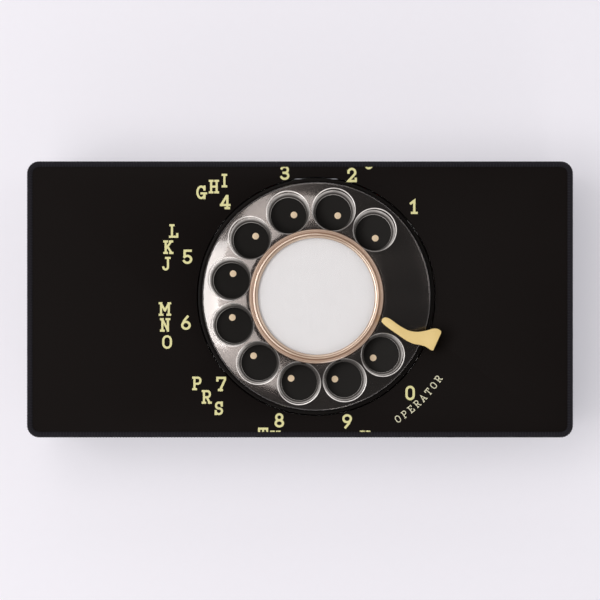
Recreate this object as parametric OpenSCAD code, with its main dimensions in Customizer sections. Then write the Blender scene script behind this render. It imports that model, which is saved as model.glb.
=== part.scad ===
// Rotary telephone, flat desk set: a black case on rubber feet, with the dial in its top face.
// The dial's clockwork, the ringer and the speech network are inside the case.
// Millimetres. +X right, +Y away from the user, +Z up. The origin is under the middle of the case.

/* [Case] */
// Width over the edge trim
case_w = 182; // [180:1:230]
// Depth over the edge trim
case_d = 92; // [92:1:130]
// Height of the top face above the table
face_z = 44; // [42:1:70]
// Corner radius over the edge trim
corner_r = 4; // [3:0.5:10]
// Wall thickness of the housing
wall = 2.5; // [1.8:0.1:3]
// Thickness of the housing's top
top_t = 2.4; // [1.8:0.1:3]
// Thickness of the printed face sheet
face_t = 0.6; // [0.4:0.1:1]
// How far the trim stands out from the housing's side
trim_out = 1; // [0.6:0.1:2]
// Width of the trim seen from above
trim_w = 1.8; // [1.4:0.1:3]
// Height of the trim's lip above the face sheet
trim_lip = 0.6; // [0.3:0.1:1.5]
// Depth of the trim's skirt down the side of the housing
trim_skirt = 5; // [3:0.5:10]
// Radius of a screw boss inside the housing
boss_r = 3.6; // [3:0.1:4.2]
// Radius of a case screw
case_screw_r = 1.5; // [1.2:0.1:2]

/* [Base] */
// Height of the rubber feet below the base plate
foot_h = 3; // [2.5:0.5:8]
// Radius of a rubber foot
foot_r = 6; // [4:0.5:9]
// Thickness of the steel base plate
base_t = 1.5; // [1:0.1:2.5]
// Gap between the base plate and the housing wall
base_gap = 0.3; // [0.1:0.1:0.8]
// Distance of a foot from the housing's inner walls
foot_inset = 16; // [15:1:22]

/* [Dial face] */
// Dial centre, to the right of the case's middle
dial_x = 5.4; // [0:0.1:10]
// Dial centre, behind the case's middle
dial_y = 1; // [0:0.1:1]
// Radius of the clear finger wheel
wheel_r = 38; // [31:0.5:38.5]
// Number of finger holes
hole_count = 10; // [10]
// Angle between finger holes
hole_pitch = 30; // [26:1:30]
// Angle of the first finger hole at rest, from +X
first_hole = 48.7; // [45:0.1:52]
// Plastic left between two finger holes
hole_web = 1.36; // [1:0.1:2]
// Plastic left outside the finger holes
rim_w = 1.8; // [1.4:0.1:3]
// How much narrower a finger hole is at its bottom
hole_taper = 1.1; // [0.5:0.1:1.5]
// Gap between the number plate and the wheel
wheel_gap = 1.2; // [1:0.1:2]
// Thickness of the wheel at its rim
wheel_rim_t = 2.4; // [1.6:0.1:3]
// Thickness of the wheel at its crown, inside the holes
wheel_crown_t = 4.8; // [4:0.1:6]
// Thickness of the web under the card holder
wheel_web_t = 2; // [1.5:0.1:3]
// Width of the bezel ring round the card
bezel_w = 3; // [2:0.1:4]
// Height of the bezel above the wheel's crown
bezel_up = 1.5; // [1:0.1:2.5]
// Thickness of the number plate
plate_t = 1.6; // [1.2:0.1:2]
// Angle of the finger stop, from +X
stop_angle = -20; // [-24:0.5:-18]
// Gap between the wheel's crown and the finger stop
stop_gap = 0.8; // [0.5:0.1:1.5]
// Thickness of the finger stop's blade
stop_t = 1.8; // [1.2:0.1:2.5]

/* [Movement] */
// Radius of the movement's two plates
works_r = 37.5; // [36:0.5:38]
// Height between the two plates
works_h = 24.5; // [24:0.5:26]
// Thickness of the dial frame, the upper plate
frame_t = 2; // [1.5:0.1:3]
// Thickness of the bridge, the lower plate
bridge_t = 1.5; // [1.2:0.1:2]
// Depth of the frame's top below the housing's ceiling
frame_drop = 5; // [4.5:0.1:6]
// Radius of the main shaft
shaft_r = 2.5; // [2:0.1:3]
// Radial clearance of a shaft in its bearing
running = 0.04; // [0.02:0.01:0.08]
// Radius of the second arbor and of the governor's shaft
arbor_r = 1; // [0.8:0.1:1.2]
// Module of the spur gears and of the worm wheel
gear_module = 0.5; // [0.5]
// Teeth of the main wheel
main_teeth = 60; // [60]
// Teeth of the second arbor's pinion
pinion_teeth = 10; // [10]
// Teeth of the worm wheel
worm_wheel_teeth = 30; // [30]
// Starts of the governor's worm
worm_starts = 3; // [3]
// Inner radius of the governor's cup
cup_r = 7.1; // [7:0.1:7.4]
// Turns of the mainspring
spring_turns = 5; // [3:1:7]
// Thickness of the mainspring's strip
spring_t = 0.45; // [0.3:0.05:0.6]
// Width of the mainspring's strip
spring_w = 4; // [3:0.1:4.4]

/* [Ringer] */
// Radius of a gong
gong_r = 17; // [14:0.5:17.4]
// Height of a gong's shell
gong_h = 9; // [7:0.5:10]
// Wall thickness of a gong
gong_t = 1; // [0.8:0.1:1.4]
// Gap between the two gongs
gong_gap = 10; // [8:0.5:10.4]
// Radius of the clapper's ball
ball_r = 3; // [2.4:0.1:3.2]
// Radius of the coil's winding
coil_r = 7; // [5:0.5:7.4]
// Length of the coil between its cheeks
coil_l = 30; // [24:1:32]

/* [Network] */
// Width of the speech network's can
net_w = 30; // [24:1:33]
// Depth of the speech network's can
net_d = 54; // [46:1:56]
// Height of the speech network's can
net_h = 22; // [16:1:28]
// Screw terminals in each of its two rows
net_terminals = 6; // [4:1:7]
// Inner radius of a cord grommet
grommet_r = 3.2; // [2.5:0.1:3.5]

/* [Hidden] */
$fn = 48;

// Colours
c_black = [0.09, 0.08, 0.08];
c_steel = [0.62, 0.63, 0.65];
c_brass = [0.78, 0.62, 0.32];
c_zinc = [0.72, 0.72, 0.7];
c_rubber = [0.12, 0.12, 0.14];
c_fibre = [0.42, 0.26, 0.16];
c_copper = [0.72, 0.38, 0.22];

// Case levels and sizes
fit = 0.02; // gap that keeps two faces of different bodies from sharing a surface
body_w = case_w - 2 * trim_out;
body_d = case_d - 2 * trim_out;
inner_w = body_w - 2 * wall;
inner_d = body_d - 2 * wall;
housing_top = face_z - face_t;
ceiling_z = housing_top - top_t;
skirt_z = foot_h / 2;
base_top = foot_h + base_t;
boss_inset = 6;
boss_x = inner_w / 2 - boss_inset;
boss_y = inner_d / 2 - boss_inset;
foot_x = inner_w / 2 - foot_inset;
foot_y = inner_d / 2 - foot_r - 1;
foot_stem_r = 2;
base_corner_r = 1.5;
sound_slot = [1.6, 22]; // width and length of a sound slot in the base plate
sound_slot_pitch = 3.2;
sound_slots_each_side = 3;
screw_head_r = 2.8; // case screws and frame screws
screw_head_h = 1.4;
case_screw_l = 10; // how far a case screw goes into its boss
flange_out = 1.4; // how far a grommet's flange stands out past its seat

// Dial face sizes
hole_ring_r = (wheel_r - rim_w + hole_web / 2) / (1 + sin(hole_pitch / 2));
hole_top_r = hole_ring_r * sin(hole_pitch / 2) - hole_web / 2;
hole_base_r = hole_top_r - hole_taper;
bezel_gap = 0.1;
bezel_r = hole_ring_r - hole_top_r - bezel_gap;
card_r = bezel_r - bezel_w;
card_seat_r = card_r + 0.7;
plate_r = wheel_r + 1.5;
face_hole_r = plate_r + 0.3;
housing_hole_r = plate_r + 0.5;
plate_bore_r = 11.5;
plate_z = face_z - plate_t;
wheel_z = face_z + wheel_gap;
web_z = wheel_z + wheel_web_t;
crown_z = wheel_z + wheel_crown_t;
bezel_z = crown_z + bezel_up;
window_t = 1;
lip_t = 0.5;
card_t = 0.3;
card_z = bezel_z - lip_t - window_t - card_t;
hub_r = 6;
hub_flange_r = 9.5;
hub_flange_t = 0.8;
nut_r = 4.6;
nut_h = 1.6;
seat_wall = 1.4; // wall of the card seat's ring
seat_lid_t = 0.6;

// Finger stop: distances along its own axis, from the dial's centre
stop_tip = bezel_r + 0.6;
stop_end = plate_r + 3.3;
stop_z = crown_z + stop_gap;
stop_foot_r = wheel_r + 1.4;
stop_screw_r = 0.8;
stop_screw_at = stop_end - 1.5;
stop_screw_l = 3; // how far its screw goes into the stop
// Upper and lower edges of the finger stop: share of its length, distance from its axis
stop_upper = [
    [0, 0.2], [0.02, 0.95], [0.06, 1.35], [0.13, 1.3], [0.3, 0.35], [0.46, -0.15], [0.6, 0.25],
    [0.73, 1.5], [0.86, 3.25], [0.93, 3.6], [0.985, 3.3], [1, 2.6]
];
stop_lower = [
    [0.975, -3.5], [0.95, -3.75], [0.9, -3.5], [0.83, -3.25], [0.73, -3.4], [0.62, -3.75], [0.48, -3.45],
    [0.35, -2.75], [0.2, -2], [0.07, -1.15], [0.01, -0.5]
];

// Movement levels, measured down from the frame
frame_top = ceiling_z - frame_drop;
frame_z = frame_top - frame_t;
bridge_top = frame_z - works_h;
bridge_z = bridge_top - bridge_t;
ear_r = max(plate_r, works_r) + 5;
ear_angles = [35, 145, 215, 325];
post_r = 2.5;
post_ring_r = plate_r - 6.5;
post_angles = [90, 210, 330];
pillar_r = 2.5;
pillar_ring_r = works_r - 4.5;
pillar_angles = [80, 222, 320];
pillar_screw_r = 1.2;
bush_r = 4.5;
bush_z = frame_z - 5;
spring_z = frame_top + 1;
spring_in = hub_r + 0.5;
spring_out = 17;
anchor_post_r = 1.2;
spring_anchor = spring_out + spring_t / 2 + anchor_post_r + fit;

// Gear train
pitch_angle = 28; // pressure angle of the teeth
main_r = gear_module * main_teeth / 2;
pinion_r = gear_module * pinion_teeth / 2;
worm_wheel_r = gear_module * worm_wheel_teeth / 2;
centre_gap = 0.05; // extra distance between two geared centres
second_x = -(main_r + pinion_r + centre_gap);
worm_r = 2; // pitch radius of the worm
worm_x = second_x - worm_wheel_r - worm_r - centre_gap;
main_z = frame_z - 10;
main_t = 2;
ratchet_z = main_z + main_t + 0.3;
ratchet_t = 1.5;
ratchet_r = 8.5;
ratchet_teeth = 12;
click_at = [10.4, 6.6];
click_pin_r = 0.8;
click_anchor = [12.4 * cos(62), 12.4 * sin(62)]; // pin that the click's spring leans on
wire_r = 0.16; // radius of the click spring's wire
worm_wheel_z = frame_z - 16.7;
worm_wheel_t = 2.4;
governor_z = worm_wheel_z + worm_wheel_t / 2;
worm_pitch = PI * gear_module; // axial distance between two threads
worm_lead = worm_pitch * worm_starts;
worm_wheel_twist = -worm_wheel_t * worm_lead / (2 * PI * worm_r) / worm_wheel_r * 180 / PI;
worm_l = 7;
cam_z = worm_wheel_z + worm_wheel_t + 1.2;
cam_t = 1.4;
cam_high = 5;
cam_low = 3.4;

// Governor, along its own shaft
shaft_start = -14;
carrier_y = 10.6;
shoe_y = 12;
shoe_l = 4;
shoe_in = 3.9;
shoe_out = 6.4;
shoe_sweep = 140;
shoe_pin_ring = 5.1;
shoe_pin_r = 0.5;
cup_start = 9.6;
cup_end = 18.4;
cup_wall = 0.8;
cup_floor = 1;
bracket_front = -12;
bracket_back = 8.2;
bracket_t = 1.3;

// Contact springs
leaf_t = 0.3;
leaf_w = 3;
leaf_z = cam_z - 0.8;
pulse_block = [16, -14.2];
normal_block = [20, 12.2];
normal_stud_r = 8.6;
normal_stud_angle = 75;
lever_pivot = [-9, -9];
lever_pin_r = 0.8;
lever_nose = [second_x, -cam_high - 0.75];

// Ringer
ringer_x = -inner_w / 2 + gong_r + 4.5;
gong_y = (gong_gap + 2 * gong_r) / 2;
gong_z = base_top + 14.5;
coil_x = ringer_x + 24;
coil_z = base_top + 9.5;
armature_x = coil_x - 11;
armature_l = coil_l + 6;
frame_w = 30;
frame_d = coil_l + 18;
frame_sheet = 1.5;
core_r = 3;
gong_post_r = 3;
gong_pin_r = 1.6; // stud through the middle of a gong
former_r = 4; // inside of the winding
pivot_r = 0.8; // armature's pivot pin
pivot_x = armature_x - 1.6;

// Network
net_x = inner_w / 2 - net_w / 2 - 3;
grommet_wall_r = grommet_r + 1.6;
grommet_z = base_top + 12;
line_x = net_x - 2;
handset_x = -30;
lead_r = 0.7;

// ---------------------------------------------------------------- shared shapes

// Points of a rectangle with round corners, as flat steps
function round_rect(w, d, r, steps = 6) = [
    for (corner = [0:3])
        for (i = [0:steps])
            let (
                a = corner * 90 + i * 90 / steps,
                sx = (corner == 0 || corner == 3) ? 1 : -1,
                sy = corner < 2 ? 1 : -1
            )
            [sx * (w / 2 - r) + r * cos(a), sy * (d / 2 - r) + r * sin(a)]
];

// Points of a circle, as flat steps
function ring_points(r, steps = 36) = [
    for (i = [0:steps - 1])
        let (a = i * 360 / steps)
        [r * cos(a), r * sin(a)]
];

module slab(w, d, r, z0, z1) {
    translate([0, 0, z0]) linear_extrude(z1 - z0) polygon(round_rect(w, d, r));
}

module disc(r, z0, z1) {
    translate([0, 0, z0]) cylinder(r = r, h = z1 - z0);
}

module tube(r_out, r_in, z0, z1) {
    translate([0, 0, z0])
        rotate_extrude() translate([r_in, 0]) square([r_out - r_in, z1 - z0]);
}

module at_dial() {
    translate([dial_x, dial_y, 0]) children();
}

module polar(r, a) {
    translate([r * cos(a), r * sin(a), 0]) children();
}

module mirrored_corners(x, y) {
    for (sx = [-1, 1])
        for (sy = [-1, 1])
            translate([sx * x, sy * y, 0]) children();
}

// A slotted screw with its head's top at z = 0, going down
module screw(head_r, head_h, shank_r, length) {
    difference() {
        union() {
            translate([0, 0, -head_h]) cylinder(r = head_r, h = head_h);
            translate([0, 0, -length]) cylinder(r = shank_r, h = length - head_h / 2);
        }
        translate([0, 0, -head_h * 0.2]) cube([head_r * 2.2, head_r * 0.3, head_h * 0.8], center = true);
    }
}

// Angle between an involute and its start, in degrees
function involute(a) = tan(a) * 180 / PI - a;

// Half the angle that a tooth takes at radius r
function half_tooth(r, pitch_r, teeth, share) =
    let (base_r = pitch_r * cos(pitch_angle))
    180 / teeth * share + involute(pitch_angle) - (r > base_r ? involute(acos(base_r / r)) : 0);

// Points of a toothed disc. share is the part of the pitch that a tooth fills.
function gear_points(teeth, share, up, down, steps = 2) =
    let (
        pitch_r = gear_module * teeth / 2,
        flank = pitch_r - down * 0.25,
        radii = concat([pitch_r - down], [for (i = [0:steps]) flank + (up + down * 0.25) * i / steps])
    )
    [
        for (tooth = [0:teeth - 1])
            for (k = [0:2 * len(radii) - 1])
                let (
                    rising = k < len(radii),
                    r = radii[rising ? k : 2 * len(radii) - 1 - k],
                    a = tooth * 360 / teeth + (rising ? -1 : 1) * half_tooth(r, pitch_r, teeth, share)
                )
                [r * cos(a), r * sin(a)]
    ];

// Smooth curve through points, for outlines
function spline_point(a, b, c, d, t) =
    0.5 * (2 * b + (c - a) * t + (2 * a - 5 * b + 4 * c - d) * t * t + (3 * b - a - 3 * c + d) * t * t * t);
function spline(p, steps) = [
    for (i = [0:len(p) - 2])
        for (k = [0:steps - 1])
            spline_point(p[max(i - 1, 0)], p[i], p[i + 1], p[min(i + 2, len(p) - 1)], k / steps),
    p[len(p) - 1]
];

// A round lead swept along points
module lead(path, r, sides = 6) {
    last = len(path) - 1;
    function unit(v) = v / norm(v);
    function along(i) = unit(path[min(i + 1, last)] - path[max(i - 1, 0)]);
    function across(i) = let (t = along(i)) unit(cross(t, abs(t[2]) > 0.9 ? [0, 1, 0] : [0, 0, 1]));
    points = [
        for (i = [0:last])
            for (k = [0:sides - 1])
                let (a = k * 360 / sides, u = across(i), v = cross(along(i), u))
                path[i] + r * (cos(a) * u + sin(a) * v)
    ];
    faces = concat(
        [[for (k = [0:sides - 1]) k]],
        [
            for (i = [0:last - 1])
                for (k = [0:sides - 1])
                    let (here = i * sides, next = here + sides, side = (k + 1) % sides)
                    [here + k, next + k, next + side, here + side]
        ],
        [[for (k = [0:sides - 1]) last * sides + sides - 1 - k]]
    );
    polyhedron(points, faces);
}

// ---------------------------------------------------------------- case

module grommet_hole(x) {
    translate([x, inner_d / 2 - 1, grommet_z])
        rotate([-90, 0, 0]) cylinder(r = grommet_wall_r, h = wall + 2);
}

module housing() {
    color(c_black)
    difference() {
        union() {
            difference() {
                slab(body_w, body_d, corner_r - trim_out, skirt_z, housing_top);
                slab(inner_w, inner_d, max(corner_r - trim_out - wall, 0.5), skirt_z - 1, ceiling_z);
                at_dial() disc(housing_hole_r, ceiling_z - 1, housing_top + 1);
            }
            mirrored_corners(boss_x, boss_y) disc(boss_r, base_top, ceiling_z + 0.5);
            at_dial() for (a = ear_angles) polar(ear_r, a) disc(boss_r, frame_top, ceiling_z + 0.5);
        }
        mirrored_corners(boss_x, boss_y) disc(case_screw_r, base_top - 1, base_top + case_screw_l + 2);
        at_dial() for (a = ear_angles) polar(ear_r, a) disc(case_screw_r, frame_top - 1, ceiling_z);
        at_dial() polar(stop_screw_at, stop_angle) disc(stop_screw_r, ceiling_z - 1, housing_top + 1);
        grommet_hole(line_x);
        grommet_hole(handset_x);
    }
}

module face_sheet() {
    color([0.1, 0.085, 0.08])
    difference() {
        slab(body_w, body_d, corner_r - trim_out, housing_top, face_z);
        at_dial() disc(face_hole_r, housing_top - 1, face_z + 1);
        at_dial() polar(stop_screw_at, stop_angle) disc(stop_screw_r, housing_top - 1, face_z + 1);
    }
}

module edge_trim() {
    skirt_low = face_z - trim_skirt;
    lip_high = face_z + trim_lip;
    color([0.1, 0.1, 0.13])
    union() {
        difference() {
            slab(case_w, case_d, corner_r, skirt_low, lip_high);
            slab(body_w, body_d, corner_r - trim_out, skirt_low - 1, lip_high + 1);
        }
        difference() {
            slab(case_w - trim_out / 2, case_d - trim_out / 2, corner_r - trim_out / 4, face_z, lip_high);
            slab(case_w - 2 * trim_w, case_d - 2 * trim_w, corner_r - trim_w, face_z - 1, lip_high + 1);
        }
    }
}

module base_plate() {
    slot_x = ringer_x - 9;
    color(c_zinc)
    difference() {
        slab(inner_w - 2 * base_gap, inner_d - 2 * base_gap, base_corner_r, foot_h, base_top);
        mirrored_corners(boss_x, boss_y) disc(case_screw_r + 0.2, foot_h - 1, base_top + 1);
        mirrored_corners(foot_x, foot_y) disc(foot_stem_r + fit, foot_h - 1, base_top + 1);
        for (i = [-sound_slots_each_side:sound_slots_each_side])
            translate([slot_x + i * sound_slot_pitch, 0, foot_h + base_t / 2])
                cube([sound_slot[0], sound_slot[1], base_t + 2], center = true);
    }
}

module rubber_feet() {
    profile = [
        [0, 0], [foot_r - 1, 0], [foot_r, foot_h - 0.8], [foot_r, foot_h], [foot_stem_r, foot_h],
        [foot_stem_r, base_top], [foot_stem_r + 1, base_top], [foot_stem_r, base_top + 1.5],
        [0, base_top + 1.5]
    ];
    color(c_rubber) mirrored_corners(foot_x, foot_y) rotate_extrude() polygon(profile);
}

module base_screws() {
    color(c_steel)
    mirrored_corners(boss_x, boss_y)
        translate([0, 0, foot_h - screw_head_h]) mirror([0, 0, 1])
            screw(screw_head_r, screw_head_h, case_screw_r, screw_head_h + base_t + case_screw_l);
}

module cord_grommet(x) {
    flange = trim_out;
    flange_r = grommet_wall_r + flange_out;
    profile = [
        [grommet_r, -flange], [flange_r, -flange], [flange_r, 0], [grommet_wall_r, 0],
        [grommet_wall_r, wall], [flange_r, wall], [flange_r - 0.5, wall + flange],
        [grommet_r, wall + flange]
    ];
    color(c_rubber)
    translate([x, inner_d / 2, grommet_z]) rotate([-90, 0, 0]) rotate_extrude() polygon(profile);
}

// ---------------------------------------------------------------- dial face

module number_plate() {
    color([0.15, 0.16, 0.16])
    at_dial() tube(plate_r, plate_bore_r, plate_z, face_z);
}

function stop_outline() = [
    for (p = concat(spline(stop_upper, 4), spline(stop_lower, 4)))
        [stop_tip + p[0] * (stop_end - stop_tip), p[1]]
];

module finger_stop() {
    color([0.93, 0.82, 0.52])
    at_dial() rotate([0, 0, stop_angle])
    difference() {
        union() {
            translate([0, 0, stop_z]) linear_extrude(stop_t) polygon(stop_outline());
            intersection() {
                translate([0, 0, face_z]) linear_extrude(stop_z - face_z + stop_t / 2)
                    polygon(stop_outline());
                tube(stop_end + 10, stop_foot_r, face_z, stop_z + stop_t / 2);
            }
        }
        translate([stop_screw_at, 0, 0]) disc(stop_screw_r, face_z - 1, face_z + stop_screw_l + 0.5);
    }
}

module finger_stop_screw() {
    head_h = 1.2;
    color(c_steel)
    at_dial() polar(stop_screw_at, stop_angle) translate([0, 0, ceiling_z - head_h])
        mirror([0, 0, 1]) screw(1.8, head_h, stop_screw_r, head_h + top_t + face_t + stop_screw_l);
}

module finger_wheel() {
    crown_r = bezel_r + 2.2;
    pocket_r = bezel_r + bezel_gap;
    rim_z = wheel_z + wheel_rim_t;
    bore_r = shaft_r + fit;
    cone_h = wheel_crown_t - 0.6;
    profile = [
        [bore_r, wheel_z], [wheel_r - 0.4, wheel_z], [wheel_r, wheel_z + 0.4], [wheel_r, rim_z - 0.9],
        [wheel_r - 0.35, rim_z - 0.25], [wheel_r - 1.1, rim_z + 0.25], [hole_ring_r + 2, crown_z - 0.9],
        [crown_r, crown_z], [pocket_r + 0.3, crown_z], [pocket_r, crown_z - 0.3], [pocket_r, web_z],
        [bore_r, web_z]
    ];
    color([0.8, 0.76, 0.73, 0.4])
    at_dial()
    difference() {
        rotate_extrude() polygon(profile);
        for (i = [0:hole_count - 1])
            polar(hole_ring_r, first_hole + i * hole_pitch) {
                translate([0, 0, wheel_z]) cylinder(r1 = hole_base_r, r2 = hole_top_r, h = cone_h);
                disc(hole_base_r, wheel_z - 1, wheel_z + 0.1);
                disc(hole_top_r, wheel_z + cone_h - 0.05, crown_z + 1);
            }
    }
}

module wheel_hub() {
    color(c_zinc)
    at_dial() union() {
        tube(hub_r, shaft_r, frame_top + 0.7, wheel_z);
        tube(hub_flange_r, shaft_r, wheel_z - hub_flange_t, wheel_z);
    }
}

module main_shaft() {
    color(c_steel)
    at_dial() disc(shaft_r, bridge_z, web_z + nut_h);
}

module shaft_nut() {
    color(c_brass)
    at_dial() difference() {
        translate([0, 0, web_z]) cylinder(r = nut_r, h = nut_h, $fn = 6);
        disc(shaft_r, web_z - 1, web_z + nut_h + 1);
    }
}

module card_seat() {
    color(c_zinc)
    at_dial() union() {
        tube(card_seat_r, card_seat_r - seat_wall, web_z, card_z);
        disc(card_seat_r - seat_wall / 2, card_z - seat_lid_t, card_z);
    }
}

module number_card() {
    color([0.93, 0.93, 0.93])
    at_dial() disc(card_seat_r, card_z, card_z + card_t);
}

module card_window() {
    color([0.9, 0.95, 1, 0.2])
    at_dial() disc(card_seat_r, card_z + card_t, bezel_z - lip_t);
}

module card_bezel() {
    wall_r = card_seat_r + 0.1;
    profile = [
        [wall_r, web_z], [bezel_r, web_z], [bezel_r, crown_z + 0.3], [bezel_r - 0.5, crown_z + 0.7],
        [bezel_r - 0.8, bezel_z - 0.5], [bezel_r - 1.2, bezel_z - 0.1], [bezel_r - 1.9, bezel_z],
        [card_r + 0.3, bezel_z], [card_r, bezel_z - lip_t], [wall_r, bezel_z - lip_t]
    ];
    color([0.8, 0.66, 0.52])
    at_dial() rotate_extrude() polygon(profile);
}

// ---------------------------------------------------------------- movement

module dial_frame() {
    arm_in = 6; // how far an ear's arm reaches in over the plate
    arm_w = 6.4;
    ear_end_r = 4;
    neck_r = 7.5; // boss round the main bearing
    color(c_zinc)
    at_dial()
    difference() {
        union() {
            disc(works_r, frame_z, frame_top);
            for (a = ear_angles) {
                rotate([0, 0, a]) translate([works_r - arm_in, -arm_w / 2, frame_z])
                    cube([ear_r - works_r + arm_in, arm_w, frame_t]);
                polar(ear_r, a) disc(ear_end_r, frame_z, frame_top);
            }
            for (a = post_angles) polar(post_ring_r, a) disc(post_r, frame_top - 0.5, plate_z);
            disc(neck_r, frame_z - 3, frame_z + 0.5);
            translate([spring_anchor, 0, 0]) disc(anchor_post_r, frame_top - 0.5, spring_z + spring_w);
        }
        disc(bush_r, frame_z - 4, frame_top + 1);
        translate([second_x, 0, 0]) disc(arbor_r + running, frame_z - 1, frame_top + 1);
        for (a = ear_angles) polar(ear_r, a) disc(case_screw_r, frame_z - 1, frame_top + 1);
        for (a = pillar_angles) polar(pillar_ring_r, a) disc(pillar_screw_r, frame_z - 1, frame_top + 1);
    }
}

module main_bearing() {
    color(c_brass)
    at_dial() union() {
        tube(bush_r, shaft_r + running, bush_z, frame_top + 0.4);
        tube(bush_r + 2, shaft_r + running, frame_top, frame_top + 0.4);
    }
}

module frame_screws() {
    thread = frame_t + frame_drop - 0.6;
    color(c_steel)
    at_dial() for (a = ear_angles)
        polar(ear_r, a) translate([0, 0, frame_z - screw_head_h]) mirror([0, 0, 1])
            screw(screw_head_r, screw_head_h, case_screw_r, screw_head_h + thread);
}

// The mainspring: a flat strip in a spiral, from the hub to the frame's anchor post
module mainspring() {
    per_turn = 30;
    last = spring_turns * per_turn;
    function radius(i) = spring_in + (spring_out - spring_in) * i / last;
    function edge(i, side) =
        let (r = radius(i) + side * spring_t / 2, a = i * 360 / per_turn)
        [r * cos(a), r * sin(a)];
    outline = concat([for (i = [0:last]) edge(i, 1)], [for (i = [last:-1:0]) edge(i, -1)]);
    color([0.35, 0.38, 0.45])
    at_dial() translate([0, 0, spring_z]) linear_extrude(spring_w) polygon(outline);
}

// The lower plate, with the riveted post that the pulse lever rocks on
module bridge_plate() {
    window_r = 5.5; // lightening holes
    window_angles = [20, 110, 255];
    color(c_zinc)
    at_dial() translate([lever_pivot[0], lever_pivot[1], 0]) {
        disc(lever_pin_r + 1, bridge_top - 0.5, cam_z - 0.2);
        disc(lever_pin_r, cam_z - 0.3, cam_z + cam_t + 0.8);
    }
    color(c_zinc)
    at_dial()
    difference() {
        disc(works_r - 1, bridge_z, bridge_top);
        disc(shaft_r + running, bridge_z - 1, bridge_top + 1);
        translate([second_x, 0, 0]) disc(arbor_r + running, bridge_z - 1, bridge_top + 1);
        for (a = pillar_angles) polar(pillar_ring_r, a) disc(pillar_screw_r, bridge_z - 1, bridge_top + 1);
        for (a = window_angles) polar(works_r * 0.55, a) disc(window_r, bridge_z - 1, bridge_top + 1);
    }
}

module bridge_pillars() {
    color(c_brass)
    at_dial() for (a = pillar_angles) polar(pillar_ring_r, a)
        tube(pillar_r, pillar_screw_r, bridge_top, frame_z);
}

module pillar_screws() {
    head_r = 2.3;
    head_h = 1.1;
    thread = 8;
    color(c_steel)
    at_dial() for (a = pillar_angles) polar(pillar_ring_r, a) {
        translate([0, 0, bridge_z - head_h]) mirror([0, 0, 1])
            screw(head_r, head_h, pillar_screw_r, head_h + thread);
        translate([0, 0, frame_top + head_h]) screw(head_r, head_h, pillar_screw_r, head_h + thread);
    }
}

// Points of the ratchet's sawtooth rim
function ratchet_points() = [
    for (i = [0:ratchet_teeth - 1])
        for (p = [[ratchet_r - 1.5, 0.2], [ratchet_r, 0.93], [ratchet_r - 1.5, 1]])
            let (a = (i + p[1]) * 360 / ratchet_teeth)
            [p[0] * cos(a), p[0] * sin(a)]
];

module ratchet_wheel() {
    color(c_steel)
    at_dial() difference() {
        translate([0, 0, ratchet_z]) linear_extrude(ratchet_t) polygon(ratchet_points());
        disc(shaft_r, ratchet_z - 1, ratchet_z + ratchet_t + 1);
    }
}

module main_wheel() {
    boss = 5;
    window_r = 2.6; // lightening holes
    window_ring_r = 9;
    stud_r = 0.8; // stud that holds the off-normal springs
    anchor_r = 0.5;
    color(c_brass)
    at_dial() union() {
        difference() {
            union() {
                translate([0, 0, main_z]) linear_extrude(main_t)
                    polygon(gear_points(main_teeth, 0.42, 0.42, 0.62));
                disc(boss, main_z - 1.4, main_z + 0.5);
            }
            disc(shaft_r + running, main_z - 2, main_z + main_t + 1);
            for (a = [100:60:340]) polar(window_ring_r, a) disc(window_r, main_z - 1, main_z + main_t + 1);
        }
        translate([click_at[0], click_at[1], 0])
            disc(click_pin_r, main_z + main_t / 2, ratchet_z + ratchet_t + 1.4);
        polar(normal_stud_r, normal_stud_angle) disc(stud_r, main_z - 3, main_z + 0.5);
        translate([click_anchor[0], click_anchor[1], 0])
            disc(anchor_r, main_z + main_t / 2, ratchet_z + ratchet_t + 1.2);
    }
}

// The click that the ratchet drives. It lifts outwards about its pin.
module click_pawl() {
    outline = [
        [-2.95, -6.2], [-1.9, -6.4], [-0.8, -4], [1.5, -1], [1.7, 0.3], [0.6, 1.6], [-0.8, 1.5],
        [-1.6, 0.3], [-1.4, -1.6]
    ];
    color(c_steel)
    at_dial() translate([click_at[0], click_at[1], 0])
    difference() {
        translate([0, 0, ratchet_z]) linear_extrude(ratchet_t) polygon(outline);
        disc(click_pin_r + running, ratchet_z - 1, ratchet_z + ratchet_t + 1);
    }
}

// A torsion spring round the click's pin: one leg to the anchor pin, the other out along the click
module click_spring() {
    z = ratchet_z + ratchet_t + 0.45;
    coil = 1.1;
    first = 54;
    sweep = 397;
    steps = 14;
    rise = 0.45;
    anchor = [click_anchor[0] + 0.4, click_anchor[1] + 0.65, z];
    path = concat(
        [anchor],
        [
            for (i = [0:steps])
                let (a = first - sweep * i / steps)
                [click_at[0] + coil * cos(a), click_at[1] + coil * sin(a), z + rise * i / steps]
        ],
        [[click_at[0] + 2, click_at[1] - 3, z + rise]]
    );
    color(c_steel)
    at_dial() lead(path, wire_r, 5);
}

module second_arbor() {
    color(c_steel)
    at_dial() translate([second_x, 0, 0]) disc(arbor_r, bridge_z, frame_top);
}

module pinion() {
    color(c_brass)
    at_dial() translate([second_x, 0, 0])
    difference() {
        translate([0, 0, main_z - 0.4]) rotate([0, 0, 180 / pinion_teeth])
            linear_extrude(main_t + 0.8) polygon(gear_points(pinion_teeth, 0.42, 0.42, 0.6));
        disc(arbor_r, main_z - 2, main_z + main_t + 2);
    }
}

// The two-lobed cam that opens the pulse contact twice a turn
module pulse_cam() {
    outline = [
        for (a = [0:10:350])
            let (r = cam_low + (cam_high - cam_low) * pow((1 + cos(2 * a)) / 2, 2))
            [r * cos(a), r * sin(a)]
    ];
    color([0.85, 0.8, 0.68])
    at_dial() translate([second_x, 0, 0]) difference() {
        translate([0, 0, cam_z]) linear_extrude(cam_t) polygon(outline);
        disc(arbor_r, cam_z - 1, cam_z + cam_t + 1);
    }
}

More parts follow.
